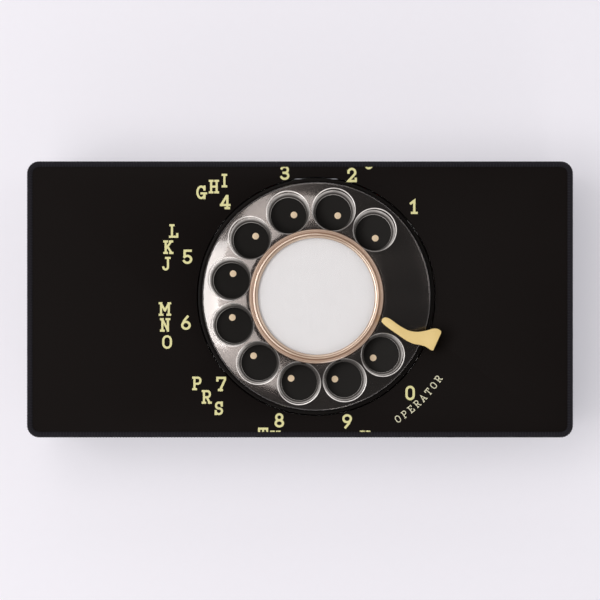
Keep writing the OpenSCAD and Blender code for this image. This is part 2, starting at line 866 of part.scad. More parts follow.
module worm_wheel() {
    teeth = gear_points(worm_wheel_teeth, 0.38, 0.42, 0.6, 1);
    bore = ring_points(arbor_r / cos(10), 18);
    color([0.85, 0.8, 0.68])
    at_dial() translate([second_x, 0, worm_wheel_z])
        difference() {
            rotate([0, 0, worm_wheel_twist / 2])
                linear_extrude(worm_wheel_t, twist = worm_wheel_twist, slices = 2) polygon(teeth);
            translate([0, 0, -1]) linear_extrude(worm_wheel_t + 2) polygon(bore);
        }
}

// Radius of the worm at a share of the way from one thread to the next
function worm_radius(share) =
    let (
        s = abs(share - 0.5) * 2,
        top = 0.24,
        foot = 0.5
    )
    s < top ? worm_r + 0.42 : s > foot ? worm_r - 0.62 : worm_r + 0.42 - 1.04 * (s - top) / (foot - top);

module governor_worm() {
    steps = 36;
    outline = [
        for (i = [0:steps - 1])
            let (a = i * 360 / steps, turn = a * worm_starts / 360, r = worm_radius(turn - floor(turn)))
            [r * cos(a), r * sin(a)]
    ];
    bore = ring_points(arbor_r / cos(10), 18);
    color(c_steel)
    at_dial() translate([worm_x, worm_l / 2, governor_z]) rotate([90, 0, 0])
        difference() {
            rotate([0, 0, -180 * worm_l / worm_lead])
                linear_extrude(worm_l, twist = -360 * worm_l / worm_lead, slices = 30) polygon(outline);
            translate([0, 0, -1]) linear_extrude(worm_l + 2) polygon(bore);
        }
}

module along_governor() {
    at_dial() translate([worm_x, 0, governor_z]) rotate([-90, 0, 0]) children();
}

module governor_shaft() {
    color(c_steel) along_governor() disc(arbor_r, shaft_start, cup_end);
}

module governor_carrier() {
    hub = 2.2;
    arm_w = 2.2;
    color(c_brass)
    along_governor() difference() {
        union() {
            disc(hub, carrier_y, shoe_y - 0.2);
            translate([-shoe_pin_ring - 1, -arm_w / 2, carrier_y]) cube([2 * shoe_pin_ring + 2, arm_w, 1]);
            for (s = [-1, 1])
                translate([s * shoe_pin_ring, 0, 0]) disc(shoe_pin_r, carrier_y + 0.5, shoe_y + shoe_l + 0.3);
        }
        disc(arbor_r, carrier_y - 1, shoe_y + 1);
    }
}

// A brass shoe that swings out on its pin and rubs the cup
module governor_shoe(turn) {
    color(c_brass)
    along_governor() rotate([0, 0, turn]) difference() {
        union() {
            translate([0, 0, shoe_y]) rotate_extrude(angle = shoe_sweep)
                translate([shoe_in, 0]) square([shoe_out - shoe_in, shoe_l]);
            translate([shoe_pin_ring, 0, 0]) disc((shoe_out - shoe_in) / 2, shoe_y, shoe_y + shoe_l);
        }
        translate([shoe_pin_ring, 0, 0]) disc(shoe_pin_r + running, shoe_y - 1, shoe_y + shoe_l + 1);
    }
}

module governor_cup() {
    floor_y = cup_end - cup_floor;
    color(c_zinc)
    at_dial() difference() {
        union() {
            translate([worm_x, 0, governor_z]) rotate([-90, 0, 0]) {
                tube(cup_r + cup_wall, cup_r, cup_start, cup_end);
                disc(cup_r + cup_wall / 2, floor_y, cup_end);
            }
            translate([worm_x - 3, floor_y - 1, bridge_top]) cube([6, cup_floor + 1, 2.2]);
        }
        translate([worm_x, 0, governor_z]) rotate([-90, 0, 0]) {
            disc(arbor_r + running, floor_y - 1, cup_end + 1);
            disc(cup_r, cup_start - 1, floor_y);
        }
    }
}

module governor_bracket() {
    color(c_zinc)
    at_dial() difference() {
        union() {
            translate([worm_x - 4, bracket_front - bracket_t, bridge_top])
                cube([7, bracket_back - bracket_front + 2 * bracket_t, 1.1]);
            for (y = [bracket_front - bracket_t, bracket_back])
                translate([worm_x - 3, y, bridge_top]) cube([6, bracket_t, governor_z + 3 - bridge_top]);
        }
        translate([worm_x, 0, governor_z]) rotate([-90, 0, 0])
            disc(arbor_r + running, bracket_front - 5, bracket_back + 5);
    }
}

module pulse_lever() {
    p = lever_pivot;
    n = lever_nose;
    outline = [
        [n[0] - 0.5, n[1] - 0.3], [n[0], n[1] + 0.5], [n[0] + 0.6, n[1] + 0.1], [n[0] + 3.4, n[1] - 1.9],
        [p[0] - 0.6, p[1] + 2], [p[0] + 1.6, p[1] + 1.3], [p[0] + 1.9, p[1] - 0.8], [p[0] + 0.3, p[1] - 2],
        [p[0] - 4, p[1] - 2.7], [n[0] + 2.2, n[1] - 4.4]
    ];
    color(c_fibre)
    at_dial() difference() {
        translate([0, 0, cam_z]) linear_extrude(cam_t) polygon(outline);
        translate([p[0], p[1], 0]) disc(lever_pin_r + running, cam_z - 1, cam_z + cam_t + 1);
    }
}

// A leaf spring from x0 to x1 with a contact button on one side
module leaf(x0, x1, y, button_x, button_dir) {
    translate([x0, y - leaf_t / 2, leaf_z]) cube([x1 - x0, leaf_t, leaf_w]);
    translate([button_x, y, leaf_z + leaf_w / 2]) rotate([button_dir * -90, 0, 0])
        cylinder(r = 0.9, h = leaf_t / 2 + 0.6);
}

module pulse_springs() {
    y = pulse_block[1];
    color(c_brass)
    at_dial() {
        leaf(-16, pulse_block[0] + 10, y + 2, -13, -1);
        leaf(-15, pulse_block[0] + 10, y, -13, 1);
    }
}

module off_normal_springs() {
    color(c_brass)
    at_dial() translate([normal_block[0], normal_block[1], 0]) {
        leaf(-19.5, 9, -2, -17, 1);
        leaf(-18.5, 9, 0, -17, -1);
        leaf(-17.5, 9, 2, -15.5, -1);
    }
}

// Fibre blocks on both sides of each leaf
module insulator_stack(leaves) {
    span = 12;
    edges = concat([leaves[0] - 2], leaves, [leaves[len(leaves) - 1] + 2]);
    for (i = [0:len(edges) - 2])
        let (
            lo = edges[i] + (i == 0 ? 0 : leaf_t / 2),
            hi = edges[i + 1] - (i == len(edges) - 2 ? 0 : leaf_t / 2)
        )
        translate([-span / 2, lo, leaf_z - 0.6]) cube([span, hi - lo, leaf_w + 1.2]);
}

module spring_insulators() {
    color(c_fibre)
    at_dial() {
        translate([pulse_block[0], pulse_block[1], 0]) insulator_stack([0, 2]);
        translate([normal_block[0], normal_block[1], 0]) insulator_stack([-2, 0, 2]);
    }
}

// An angle bracket from the bridge to the outer face of a stack
module stack_bracket(y) {
    translate([-5, y, bridge_top]) cube([10, 1.2, leaf_z + leaf_w - bridge_top]);
    translate([-5, y - 4, bridge_top]) cube([10, 5.2, 1.2]);
}

module spring_brackets() {
    color(c_zinc)
    at_dial() {
        translate([pulse_block[0], pulse_block[1], 0]) stack_bracket(-3.2);
        translate([normal_block[0], normal_block[1], 0]) mirror([0, 1, 0]) stack_bracket(-5.2);
    }
}

// ---------------------------------------------------------------- ringer

// The ringer's sheet, its two pole cheeks and the coil's iron core riveted between them
module ringer_frame() {
    cheek = 2;
    color(c_steel)
    translate([coil_x, 0, coil_z]) rotate([90, 0, 0])
        cylinder(r = core_r, h = coil_l + 9, center = true);
    color(c_steel)
    difference() {
        union() {
            translate([coil_x - frame_w + 12, -frame_d / 2, base_top])
                cube([frame_w, frame_d, frame_sheet]);
            for (s = [-1, 1])
                translate([armature_x - 2, s * (coil_l / 2 + 3.2) - cheek / 2, base_top])
                    cube([coil_x - armature_x + 6, cheek, coil_z - base_top + 5]);
        }
        translate([armature_x - 3, -frame_d / 2, base_top + frame_sheet])
            cube([6.4, frame_d, coil_z]);
    }
}

module coil_bobbin() {
    cheek = 1.2;
    color([0.75, 0.7, 0.6])
    translate([coil_x, 0, coil_z]) rotate([90, 0, 0]) {
        tube(former_r, core_r + fit, -coil_l / 2 - cheek, coil_l / 2 + cheek);
        for (s = [-1, 1])
            translate([0, 0, s * (coil_l / 2 + cheek / 2)])
                tube(coil_r + 0.8, core_r + 0.5, -cheek / 2, cheek / 2);
    }
}

module ringer_coil() {
    color(c_copper)
    translate([coil_x, 0, coil_z]) rotate([90, 0, 0]) tube(coil_r, former_r, -coil_l / 2, coil_l / 2);
}

// The bar magnet that holds the armature over, on the frame beside the coil
module ringer_magnet() {
    color([0.25, 0.25, 0.27])
    translate([coil_x + coil_r + 1.4, -12, base_top + frame_sheet]) cube([2.2, 24, 7]);
}

module ringer_armature() {
    color(c_steel)
    difference() {
        union() {
            translate([armature_x - 1.2, -armature_l / 2, coil_z - 2.5]) cube([1.6, armature_l, 5]);
            translate([pivot_x, 0, coil_z - 2.5]) cylinder(r = 2.2, h = 5);
        }
        translate([pivot_x, 0, coil_z - 4]) cylinder(r = pivot_r + running, h = 8);
    }
}

// The clapper's rod and ball, riveted to the armature
module clapper() {
    reach = armature_x - ringer_x;
    rod_r = 0.8;
    ball_z = gong_z + gong_h * 0.35;
    color(c_brass)
    translate([pivot_x, 0, 0]) union() {
        difference() {
            translate([0, 0, coil_z + 2.5]) cylinder(r = 1.8, h = ball_z - coil_z - 1.7);
            translate([0, 0, coil_z + 1]) cylinder(r = pivot_r + running, h = 3);
        }
        translate([-reach + ball_r * 0.4, 0, ball_z]) rotate([0, 90, 0])
            cylinder(r = rod_r, h = reach - ball_r * 0.4);
        translate([-reach + 1.6, 0, ball_z]) sphere(r = ball_r);
    }
}

module gong(y, t) {
    top = gong_z + gong_h;
    profile = [
        [gong_pin_r, top - gong_t], [gong_r * 0.42, top - gong_t],
        [gong_r * 0.78 - t, top - gong_h * 0.3],
        [gong_r * 0.94 - t, top - gong_h * 0.62], [gong_r - t, gong_z], [gong_r, gong_z],
        [gong_r * 0.95, top - gong_h * 0.58], [gong_r * 0.8, top - gong_h * 0.2],
        [gong_r * 0.5, top], [gong_pin_r, top]
    ];
    color([0.7, 0.66, 0.55])
    translate([ringer_x, y, 0]) rotate_extrude() polygon(profile);
}

module gong_posts() {
    color(c_steel)
    for (s = [-1, 1])
        translate([ringer_x, s * gong_y, 0]) {
            disc(gong_post_r, base_top, gong_z + gong_h - gong_t);
            disc(gong_pin_r, gong_z + gong_h - gong_t - 0.5, gong_z + gong_h);
            difference() {
                disc(3.2, gong_z + gong_h, gong_z + gong_h + 1.6);
                translate([0, 0, gong_z + gong_h + 1.5]) cube([7, 0.9, 1.2], center = true);
            }
        }
    color(c_steel) translate([pivot_x, 0, 0]) {
        disc(2, base_top + frame_sheet, coil_z - 2.7);
        disc(pivot_r, coil_z - 3, coil_z + 3.5);
    }
}

// ---------------------------------------------------------------- network and leads

module network_can() {
    can_t = 1;
    color([0.55, 0.56, 0.5])
    translate([net_x, 0, 0]) {
        difference() {
            slab(net_w, net_d, 2, base_top, base_top + net_h - 2);
            slab(net_w - 2 * can_t, net_d - 2 * can_t, 2 - can_t, base_top + can_t, base_top + net_h);
        }
        for (s = [-1, 1])
            translate([0, s * (net_d / 2 + 1.7), 0]) slab(10, 4.6, 1, base_top, base_top + 1);
    }
}

module terminal_board() {
    color(c_fibre)
    translate([net_x, 0, 0]) slab(net_w - 1, net_d - 1, 1.5, base_top + net_h - 2, base_top + net_h);
}

function terminal(row, i) = [
    net_x + (row == 0 ? -1 : 1) * net_w * 0.3,
    (i - (net_terminals - 1) / 2) * (net_d - 8) / (net_terminals - 1),
    base_top + net_h
];

module terminal_screws() {
    color(c_brass)
    for (row = [0, 1])
        for (i = [0:net_terminals - 1])
            translate(terminal(row, i)) {
                tube(2.6, 1.2, 0, 0.5);
                translate([0, 0, 2]) screw(2.2, 1.5, 1.2, 2);
            }
}

// Two red leads from the pulse springs and two green leads from the coil, to the terminals
module hookup_leads() {
    low = base_top + lead_r + 0.3;
    tail = dial_x + pulse_block[0] + 10.3;
    lift = base_top + net_h + 3.2;
    pulse_y = dial_y + pulse_block[1];
    post_x = net_x - net_w * 0.3;
    can_x = net_x - net_w / 2;
    wall_y = inner_d / 2 - 3;
    end_z = base_top + net_h + 0.5 + lead_r + 0.02;
    color([0.55, 0.12, 0.1])
    for (k = [0, 1])
        let (end_y = terminal(0, k)[1], start_y = pulse_y + 2 * k)
        lead([
            [tail, start_y, leaf_z + 1.5], [tail + 3, start_y, leaf_z + 2],
            [tail + 7, (start_y * 2 + end_y) / 3, (leaf_z + lift) / 2],
            [can_x - 3, (start_y + end_y * 5) / 6, lift], [post_x - 5, end_y, lift],
            [post_x - 3.4, end_y, end_z + 0.6], [post_x - 2.35, end_y, end_z]
        ], lead_r);
    color([0.12, 0.3, 0.16])
    for (k = [0, 1])
        let (end_y = terminal(0, net_terminals - 1 - k)[1], side = 2.5 * k)
        lead([
            [coil_x - 1 + side * 1.4, coil_l / 2 + 6, coil_z - 4],
            [coil_x + side * 1.4, coil_l / 2 + 11, low + 3],
            [coil_x + 3 + side, wall_y - 5 - side, low], [coil_x + 9 + side, wall_y - side, low],
            [dial_x, wall_y - side, low], [can_x - 8 - side, wall_y - side, low],
            [can_x - 3 - side * 0.6, wall_y - 6 - side * 2, low + 1],
            [can_x - 2.2, end_y + 3, (low + lift) / 2], [can_x - 1.5, end_y + 0.8, lift - 1],
            [post_x - 5, end_y, lift], [post_x - 3.4, end_y, end_z + 0.6], [post_x - 2.35, end_y, end_z]
        ], lead_r);
}

// ---------------------------------------------------------------- nodes

housing();
face_sheet();
edge_trim();
base_plate();
rubber_feet();
base_screws();
cord_grommet(line_x);  // line_cord_grommet
cord_grommet(handset_x);  // handset_cord_grommet
number_plate();
finger_stop();
finger_stop_screw();
finger_wheel();
wheel_hub();
main_shaft();
shaft_nut();
card_seat();
number_card();
card_window();
card_bezel();
dial_frame();
main_bearing();
frame_screws();
mainspring();
bridge_plate();
bridge_pillars();
pillar_screws();
ratchet_wheel();
main_wheel();
click_pawl();
click_spring();
second_arbor();
pinion();
pulse_cam();
worm_wheel();
governor_shaft();
governor_worm();
governor_carrier();
governor_shoe(0);  // governor_shoe_a
governor_shoe(180);  // governor_shoe_b
governor_cup();
governor_bracket();
pulse_lever();
pulse_springs();
off_normal_springs();
spring_insulators();
spring_brackets();
ringer_frame();
ringer_coil();
coil_bobbin();
ringer_magnet();
ringer_armature();
clapper();
gong(-gong_y, gong_t);  // gong_low
gong(gong_y, gong_t * 1.3);  // gong_high
gong_posts();
network_can();
terminal_board();
terminal_screws();
hookup_leads();
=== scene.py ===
import math
import bmesh
import bpy
from mathutils import Matrix, Vector


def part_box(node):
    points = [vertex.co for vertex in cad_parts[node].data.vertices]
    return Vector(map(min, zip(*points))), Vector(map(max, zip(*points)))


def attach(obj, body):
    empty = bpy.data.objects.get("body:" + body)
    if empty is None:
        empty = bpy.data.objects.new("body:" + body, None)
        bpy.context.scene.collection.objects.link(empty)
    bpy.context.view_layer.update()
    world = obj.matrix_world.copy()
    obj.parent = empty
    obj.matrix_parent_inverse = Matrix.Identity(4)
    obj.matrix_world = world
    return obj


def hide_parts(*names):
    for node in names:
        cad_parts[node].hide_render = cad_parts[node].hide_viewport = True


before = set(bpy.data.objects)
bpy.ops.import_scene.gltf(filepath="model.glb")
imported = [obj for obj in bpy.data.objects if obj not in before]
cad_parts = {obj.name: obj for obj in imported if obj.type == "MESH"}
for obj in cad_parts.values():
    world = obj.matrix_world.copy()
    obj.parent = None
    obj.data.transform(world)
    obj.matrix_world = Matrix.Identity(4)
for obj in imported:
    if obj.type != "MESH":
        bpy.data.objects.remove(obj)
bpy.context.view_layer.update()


# ---- Table and studio -------------------------------------------------------------------------
# A pale laminate table top in a room with bright walls. Two softboxes on the left, which the domed
# finger wheel mirrors, and three small lamps light it. The camera looks straight down.

class Wire:
    """One output socket of a finish. Arithmetic on it adds Math nodes."""

    def __init__(self, finish, socket):
        self.finish = finish
        self.socket = socket

    def math(self, operation, *terms):
        return self.finish.node("Math", {"operation": operation}, dict(enumerate(terms)))

    def __add__(self, other):
        return self.math("ADD", self, other)

    def __radd__(self, other):
        return self.math("ADD", other, self)

    def __sub__(self, other):
        return self.math("SUBTRACT", self, other)

    def __rsub__(self, other):
        return self.math("SUBTRACT", other, self)

    def __mul__(self, other):
        return self.math("MULTIPLY", self, other)

    def __rmul__(self, other):
        return self.math("MULTIPLY", other, self)

    def __gt__(self, other):
        return self.math("GREATER_THAN", self, other)

def paint(red, green, blue):
    """A colour as a paint chart gives it, 0 to 255, as the shader wants it."""
    tones = [tone / 255 for tone in (red, green, blue)]
    return tuple(t / 12.92 if t <= 0.04045 else ((t + 0.055) / 1.055) ** 2.4 for t in tones) + (1.0,)


class Finish:
    """A material. Its fixed values go straight onto the shader, and patterns are wired in after."""

    def __init__(self, name, fixed=None, tree_owner=None):
        self.material = tree_owner or bpy.data.materials.new(name)
        self.material.use_nodes = True
        self.tree = self.material.node_tree
        self.shader = next(n for n in self.tree.nodes if n.type in ("BSDF_PRINCIPLED", "BACKGROUND"))
        for socket, value in (fixed or {}).items():
            self.shader.inputs[socket].default_value = value

    def node(self, kind, settings=None, sockets=None, output=0):
        made = self.tree.nodes.new("ShaderNode" + kind)
        for name, value in (settings or {}).items():
            if name == "stops":
                ramp = made.color_ramp.elements
                while len(ramp) < len(value):
                    ramp.new(1.0)
                for element, (position, colour) in zip(ramp, value):
                    element.position = position
                    element.color = colour
            else:
                setattr(made, name, value)
        for name, value in (sockets or {}).items():
            if isinstance(value, Wire):
                self.tree.links.new(value.socket, made.inputs[name])
            else:
                made.inputs[name].default_value = value
        return Wire(self, made.outputs[output])

    def grain(self, per_metre, detail=2.0, stretch=(1, 1, 1)):
        """Noise on the piece's own place in the row frame, from 0 to 1."""
        place = self.node("TexCoord", output="Object")
        place = self.node("Mapping", sockets={"Vector": place, "Scale": stretch})
        return self.node("TexNoise", sockets={"Vector": place, "Scale": per_metre, "Detail": detail})

    def reach_from(self, centre):
        """Distance in metres from an upright axis through a place given in millimetres."""
        place = self.node("TexCoord", output="Object")
        flat = self.node("Mapping", sockets={"Vector": place, "Scale": (1, 1, 0)})
        axis = (centre[0] * MM, centre[1] * MM, 0)
        return self.node("VectorMath", {"operation": "DISTANCE"}, {0: flat, 1: axis}, "Value")

    def blend(self, mask, first, second):
        return self.node("Mix", {"data_type": "RGBA"}, {0: mask, 6: first, 7: second}, 2)

    def between(self, mask, low, high):
        return mask * (high - low) + low

    def relief(self, height, depth):
        return self.node("Bump", sockets={"Height": height, "Distance": depth, "Strength": 1.0})

    def feed(self, **wires):
        for name, wire in wires.items():
            self.tree.links.new(wire.socket, self.shader.inputs[name.replace("_", " ")])
        return self


def mottled(name, dark, light, cloud, fine, rough, depth, stretch=(1, 1, 1), **fixed):
    """A finish whose colour drifts in clouds, and whose gloss and relief follow a finer grain."""
    finish = Finish(name, {socket.replace("_", " "): value for socket, value in fixed.items()})
    clouds = finish.grain(cloud, 3.0, stretch)
    specks = finish.grain(fine, 2.0, stretch)
    finish.feed(Base_Color=finish.blend(clouds * 0.7 + specks * 0.3, dark, light))
    finish.feed(Roughness=finish.between(specks * 0.6 + clouds * 0.4, *rough))
    return finish.feed(Normal=finish.relief(specks, depth))


MM = 0.001
camera_height = 0.750
face_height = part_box("face_sheet")[1].z
camera = bpy.data.objects.new("camera", bpy.data.cameras.new("camera"))
camera.data.lens = 135
camera.data.sensor_width = 36
camera.location = (0, -0.0002, face_height + camera_height)
bpy.context.scene.collection.objects.link(camera)
bpy.context.scene.camera = camera
bpy.context.scene.view_settings.view_transform = "Standard"

table = bmesh.new()
bmesh.ops.create_grid(table, x_segments=8, y_segments=8, size=3.0)
table_mesh = bpy.data.meshes.new("table_top")
table.to_mesh(table_mesh)
table_top = bpy.data.objects.new("table_top", table_mesh)
bpy.context.scene.collection.objects.link(table_top)
laminate = mottled("pale_laminate", paint(196, 195, 201), paint(202, 201, 207), 6, 300, (0.7, 0.8), 0.00001,
                   Specular_IOR_Level=0.1, Emission_Strength=0.38, Emission_Color=paint(240, 239, 246))
table_mesh.materials.append(laminate.material)

world = bpy.data.worlds.new("room")
bpy.context.scene.world = world
room = Finish("room", tree_owner=world)
sky = room.node("TexCoord", output="Generated")
height = room.node("SeparateXYZ", sockets={0: sky}, output=2)
bright_walls = (0.79, 0.78, 0.80, 1.0)
dim_ceiling = (0.06, 0.06, 0.062, 1.0)
room.feed(Color=room.node("ValToRGB", {"stops": [(0.45, bright_walls), (0.80, dim_ceiling)]}, {0: height}))


def softbox(name, azimuth, zenith, distance, across, along, watts, tint):
    """A rectangular lamp that faces the dial from a direction given in degrees."""
    lamp = bpy.data.lights.new(name, "AREA")
    lamp.shape = "RECTANGLE"
    lamp.size = across
    lamp.size_y = along
    lamp.energy = watts
    lamp.color = tint
    lamp_object = bpy.data.objects.new(name, lamp)
    turn = math.radians(azimuth)
    tilt = math.radians(zenith)
    away = Vector((math.sin(tilt) * math.cos(turn), math.sin(tilt) * math.sin(turn), math.cos(tilt)))
    lamp_object.location = away * distance + Vector((0, 0, face_height))
    lamp_object.rotation_euler = away.to_track_quat("Z", "Y").to_euler()
    bpy.context.scene.collection.objects.link(lamp_object)


warm_white = (1.0, 0.96, 0.93)
softbox("left_softbox", 178, 31, 1.2, 0.64, 0.26, 4.2, (1.0, 0.985, 0.975))
softbox("broad_left", 168, 15, 1.2, 1.20, 0.50, 6.6, (1.0, 0.93, 0.89))
softbox("rear_lamp", 95, 42, 1.3, 0.50, 0.20, 0.45, warm_white)
softbox("right_lamp", 15, 42, 1.3, 0.50, 0.20, 0.45, warm_white)
softbox("front_lamp", -75, 56, 1.3, 0.40, 0.20, 0.9, warm_white)


# ---- Housing ----------------------------------------------------------------------------------
# The upper shell of the case, moulded in one piece of black ABS with a fine spark-eroded grain.
# Its posts take the case screws and the dial frame's screws; the rear wall is pierced for cords.

def reach(node):
    """A CAD node's lowest and highest corners, in millimetres."""
    low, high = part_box(node)
    return low / MM, high / MM


def loop(bm, width, depth, radius, height, segments=8):
    """The edges of a rounded rectangle, lying flat at a height."""
    corners = [bm.verts.new((x * width / 2, y * depth / 2, height))
               for x, y in ((-1, -1), (1, -1), (1, 1), (-1, 1))]
    bm.faces.new(corners)
    rounded = bmesh.ops.bevel(bm, geom=corners, affect="VERTICES", offset=radius, segments=segments,
                              profile=0.5, material=-1)
    ring = [edge for vert in rounded["verts"] for edge in vert.link_edges]
    inside = [face for face in bm.faces if set(face.verts) <= set(rounded["verts"])]
    bmesh.ops.delete(bm, geom=inside, context="FACES_ONLY")
    return list(dict.fromkeys(ring))


def lofted(levels, closed=False):
    """Rounded rectangles (width, depth, radius, height), skinned one to the next.
    A closed loft is a frame that comes back to its first level; an open one is capped."""
    bm = bmesh.new()
    rings = [loop(bm, *level) for level in levels]
    for lower, upper in zip(rings, rings[1:] + (rings[:1] if closed else [])):
        bmesh.ops.bridge_loops(bm, edges=lower + upper)
    if not closed:
        bmesh.ops.holes_fill(bm, edges=rings[0], sides=0)
        bmesh.ops.holes_fill(bm, edges=rings[-1], sides=0)
    return bm


def stepped(width, depth, radius, levels, closed=False):
    """A loft of one rounded rectangle, drawn in by an inset at each height."""
    return lofted([(width - 2 * inset, depth - 2 * inset, radius - inset, height)
                   for inset, height in levels], closed)


def turned(profile, centre=(0, 0), steps=96, closed=True):
    """(radius, height) points spun about a vertical axis. An open profile starts and ends on the axis."""
    bm = bmesh.new()
    corners = [bm.verts.new((radius, 0, height)) for radius, height in profile]
    pairs = list(zip(corners, corners[1:] + (corners[:1] if closed else [])))
    edges = [bm.edges.new(pair) for pair in pairs]
    bmesh.ops.spin(bm, geom=corners + edges, cent=(0, 0, 0), axis=(0, 0, 1), angle=math.tau,
                   steps=steps, use_merge=True)
    bmesh.ops.remove_doubles(bm, verts=bm.verts[:], dist=0.0005)
    bmesh.ops.translate(bm, verts=bm.verts[:], vec=(*centre, 0))
    return bm


def rod(radius, low, high, centre=(0, 0), steps=48):
    return turned([(0, low), (radius, low), (radius, high), (0, high)], centre, steps, closed=False)


def placed(bm, place, turn=0.0, axis="Z", verts=None):
    """Turns a bmesh, or some of its points, about an axis through the origin, then moves it."""
    chosen = verts or bm.verts[:]
    bmesh.ops.rotate(bm, verts=chosen, matrix=Matrix.Rotation(turn, 3, axis))
    bmesh.ops.translate(bm, verts=chosen, vec=place)
    return bm


def joined(*parts):
    """Several bmeshes in one."""
    whole = bmesh.new()
    for part in parts:
        part_mesh = bpy.data.meshes.new("part")
        part.to_mesh(part_mesh)
        whole.from_mesh(part_mesh)
        bpy.data.meshes.remove(part_mesh)
        part.free()
    return whole


def piece(name, bm, finish, body, replaces=(), smooth=35):
    """Turns a bmesh in millimetres into a finished object that rides on a body."""
    bmesh.ops.remove_doubles(bm, verts=bm.verts[:], dist=0.0005)
    bmesh.ops.recalc_face_normals(bm, faces=bm.faces[:])
    bmesh.ops.scale(bm, vec=(MM, MM, MM), verts=bm.verts[:])
    mesh = bpy.data.meshes.new(name)
    bm.to_mesh(mesh)
    bm.free()
    mesh.shade_smooth()
    mesh.set_sharp_from_angle(angle=math.radians(smooth))
    made = bpy.data.objects.new(name, mesh)
    bpy.context.scene.collection.objects.link(made)
    mesh.materials.append(finish.material)
    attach(made, body)
    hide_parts(*replaces)
    return made


def carve(target, *tools, operation="DIFFERENCE"):
    """Cuts shapes out of a bmesh, or joins them to it, and gives back the result."""
    meshes = [bpy.data.meshes.new("carve") for _ in range(2)]
    for mesh, bm in zip(meshes, (target, joined(*tools))):
        bmesh.ops.recalc_face_normals(bm, faces=bm.faces[:])
        bm.to_mesh(mesh)
        bm.free()
    blank, tool = [bpy.data.objects.new("carve", mesh) for mesh in meshes]
    for carved in (blank, tool):
        bpy.context.scene.collection.objects.link(carved)
    cut = blank.modifiers.new("carve", "BOOLEAN")
    cut.operation = operation
    cut.object = tool
    cut.solver = "EXACT"
    cut.use_self = True
    bpy.context.view_layer.update()
    result = bmesh.new()
    result.from_object(blank, bpy.context.evaluated_depsgraph_get())
    for carved in (blank, tool):
        bpy.data.objects.remove(carved)
    return result


def polar(radius, degrees, centre=(0, 0)):
    turn = math.radians(degrees)
    return (centre[0] + radius * math.cos(turn), centre[1] + radius * math.sin(turn))


wall = 2.5
top_thickness = 2.4
case_low, case_high = reach("housing")
case_width = case_high.x - case_low.x
case_depth = case_high.y - case_low.y
plate_low, plate_high = reach("number_plate")
dial = ((plate_low.x + plate_high.x) / 2, (plate_low.y + plate_high.y) / 2)
opening_radius = 40.0
corner = 3.0
post_radius = 3.6
screw_low, screw_high = reach("base_screws")
screw_head_radius = 2.8
screw_x = screw_high.x - screw_head_radius
screw_y = screw_high.y - screw_head_radius
screw_places = [(x * screw_x, y * screw_y) for x in (-1, 1) for y in (-1, 1)]
cord_holes = [reach(node) for node in ("line_cord_grommet", "handset_cord_grommet")]
cord_places = [((low.x + high.x) / 2, (low.z + high.z) / 2) for low, high in cord_holes]
cord_hole_radius = 4.8
frame_post_circle = 44.5
frame_post_angles = (35, 145, 215, 325)
screw_bore_radius = 1.3
screw_bore_depth = 14

shell = stepped(case_width, case_depth, corner, [
    (0.4, case_low.z), (0, case_low.z + 0.4), (0, case_low.z + 1.6), (0.25, case_low.z + 1.9),
    (0.25, case_low.z + 2.5), (0, case_low.z + 2.8), (0, case_high.z - 0.3), (0.3, case_high.z)])
ceiling = case_high.z - top_thickness
inner_width = case_width - 2 * wall
inner_depth = case_depth - 2 * wall
cavity = lofted([(inner_width, inner_depth, 1.0, case_low.z - 1),
                 (inner_width, inner_depth, 1.0, ceiling - 1),
                 (inner_width - 1, inner_depth - 1, 0.6, ceiling)])
plate_top = reach("base_plate")[1].z
frame_top = reach("dial_frame")[1].z
posts = [rod(post_radius, plate_top, ceiling + 1, place) for place in screw_places]
posts += [rod(post_radius, frame_top, ceiling + 1, polar(frame_post_circle, angle, dial))
          for angle in frame_post_angles]
bores = [rod(screw_bore_radius, plate_top - 1, plate_top + screw_bore_depth, place, 24)
         for place in screw_places]
cord_bores = []
for cord_x, cord_z in cord_places:
    bore = rod(cord_hole_radius, -10, 10, steps=40)
    cord_bores.append(placed(bore, (cord_x, case_depth / 2, cord_z), math.pi / 2, "X"))
shell = carve(shell, cavity)
shell = carve(shell, *posts, operation="UNION")
shell = carve(shell, rod(opening_radius, ceiling - 1, case_high.z + 1, dial, 128), *bores, *cord_bores)

abs_plastic = mottled("black_abs", paint(24, 23, 24), paint(32, 31, 33), 60, 2600, (0.42, 0.55), 0.00003,
                      Specular_IOR_Level=0.4)
piece("case_shell", shell, abs_plastic, "case", ["housing"])


# ---- Cord grommets ----------------------------------------------------------------------------
# Two soft rubber grommets snapped into the rear wall. The line cord and the handset cord would
# come in through them. Each has a flange on both sides of the wall and a rounded mouth.

grommet_bore = 3.2
rubber = mottled("black_rubber", paint(20, 20, 21), paint(31, 30, 31), 90, 1800, (0.6, 0.78), 0.00004,
                 Specular_IOR_Level=0.35)
for name, (low, high), (cord_x, cord_z) in zip(("line", "handset"), cord_holes, cord_places):
    flange = (high.x - low.x) / 2
    inner_wall = case_depth / 2 - wall
    outer_wall = case_depth / 2
    grommet = turned([
        (grommet_bore + 0.35, low.y), (flange - 0.3, low.y), (flange, low.y + 0.3),
        (flange, inner_wall - 0.05),
        (cord_hole_radius - 0.02, inner_wall - 0.05), (cord_hole_radius - 0.02, outer_wall + 0.05),
        (flange, outer_wall + 0.05), (flange, outer_wall + 0.55), (flange - 0.25, high.y - 0.15),
        (flange - 0.7, high.y), (grommet_bore + 0.9, high.y), (grommet_bore + 0.4, high.y - 0.12),
        (grommet_bore + 0.1, high.y - 0.5), (grommet_bore, high.y - 1.0),
        (grommet_bore, low.y + 0.35)], steps=64)
    placed(grommet, (cord_x, 0, cord_z), -math.pi / 2, "X")
    piece(name + "_grommet", grommet, rubber, "case", [name + "_cord_grommet"])


# ---- Face sheet -------------------------------------------------------------------------------
# A thin sheet of matt black polycarbonate stuck to the top of the housing. It is cut out round
# the dial, and pierced for the finger stop's screw.

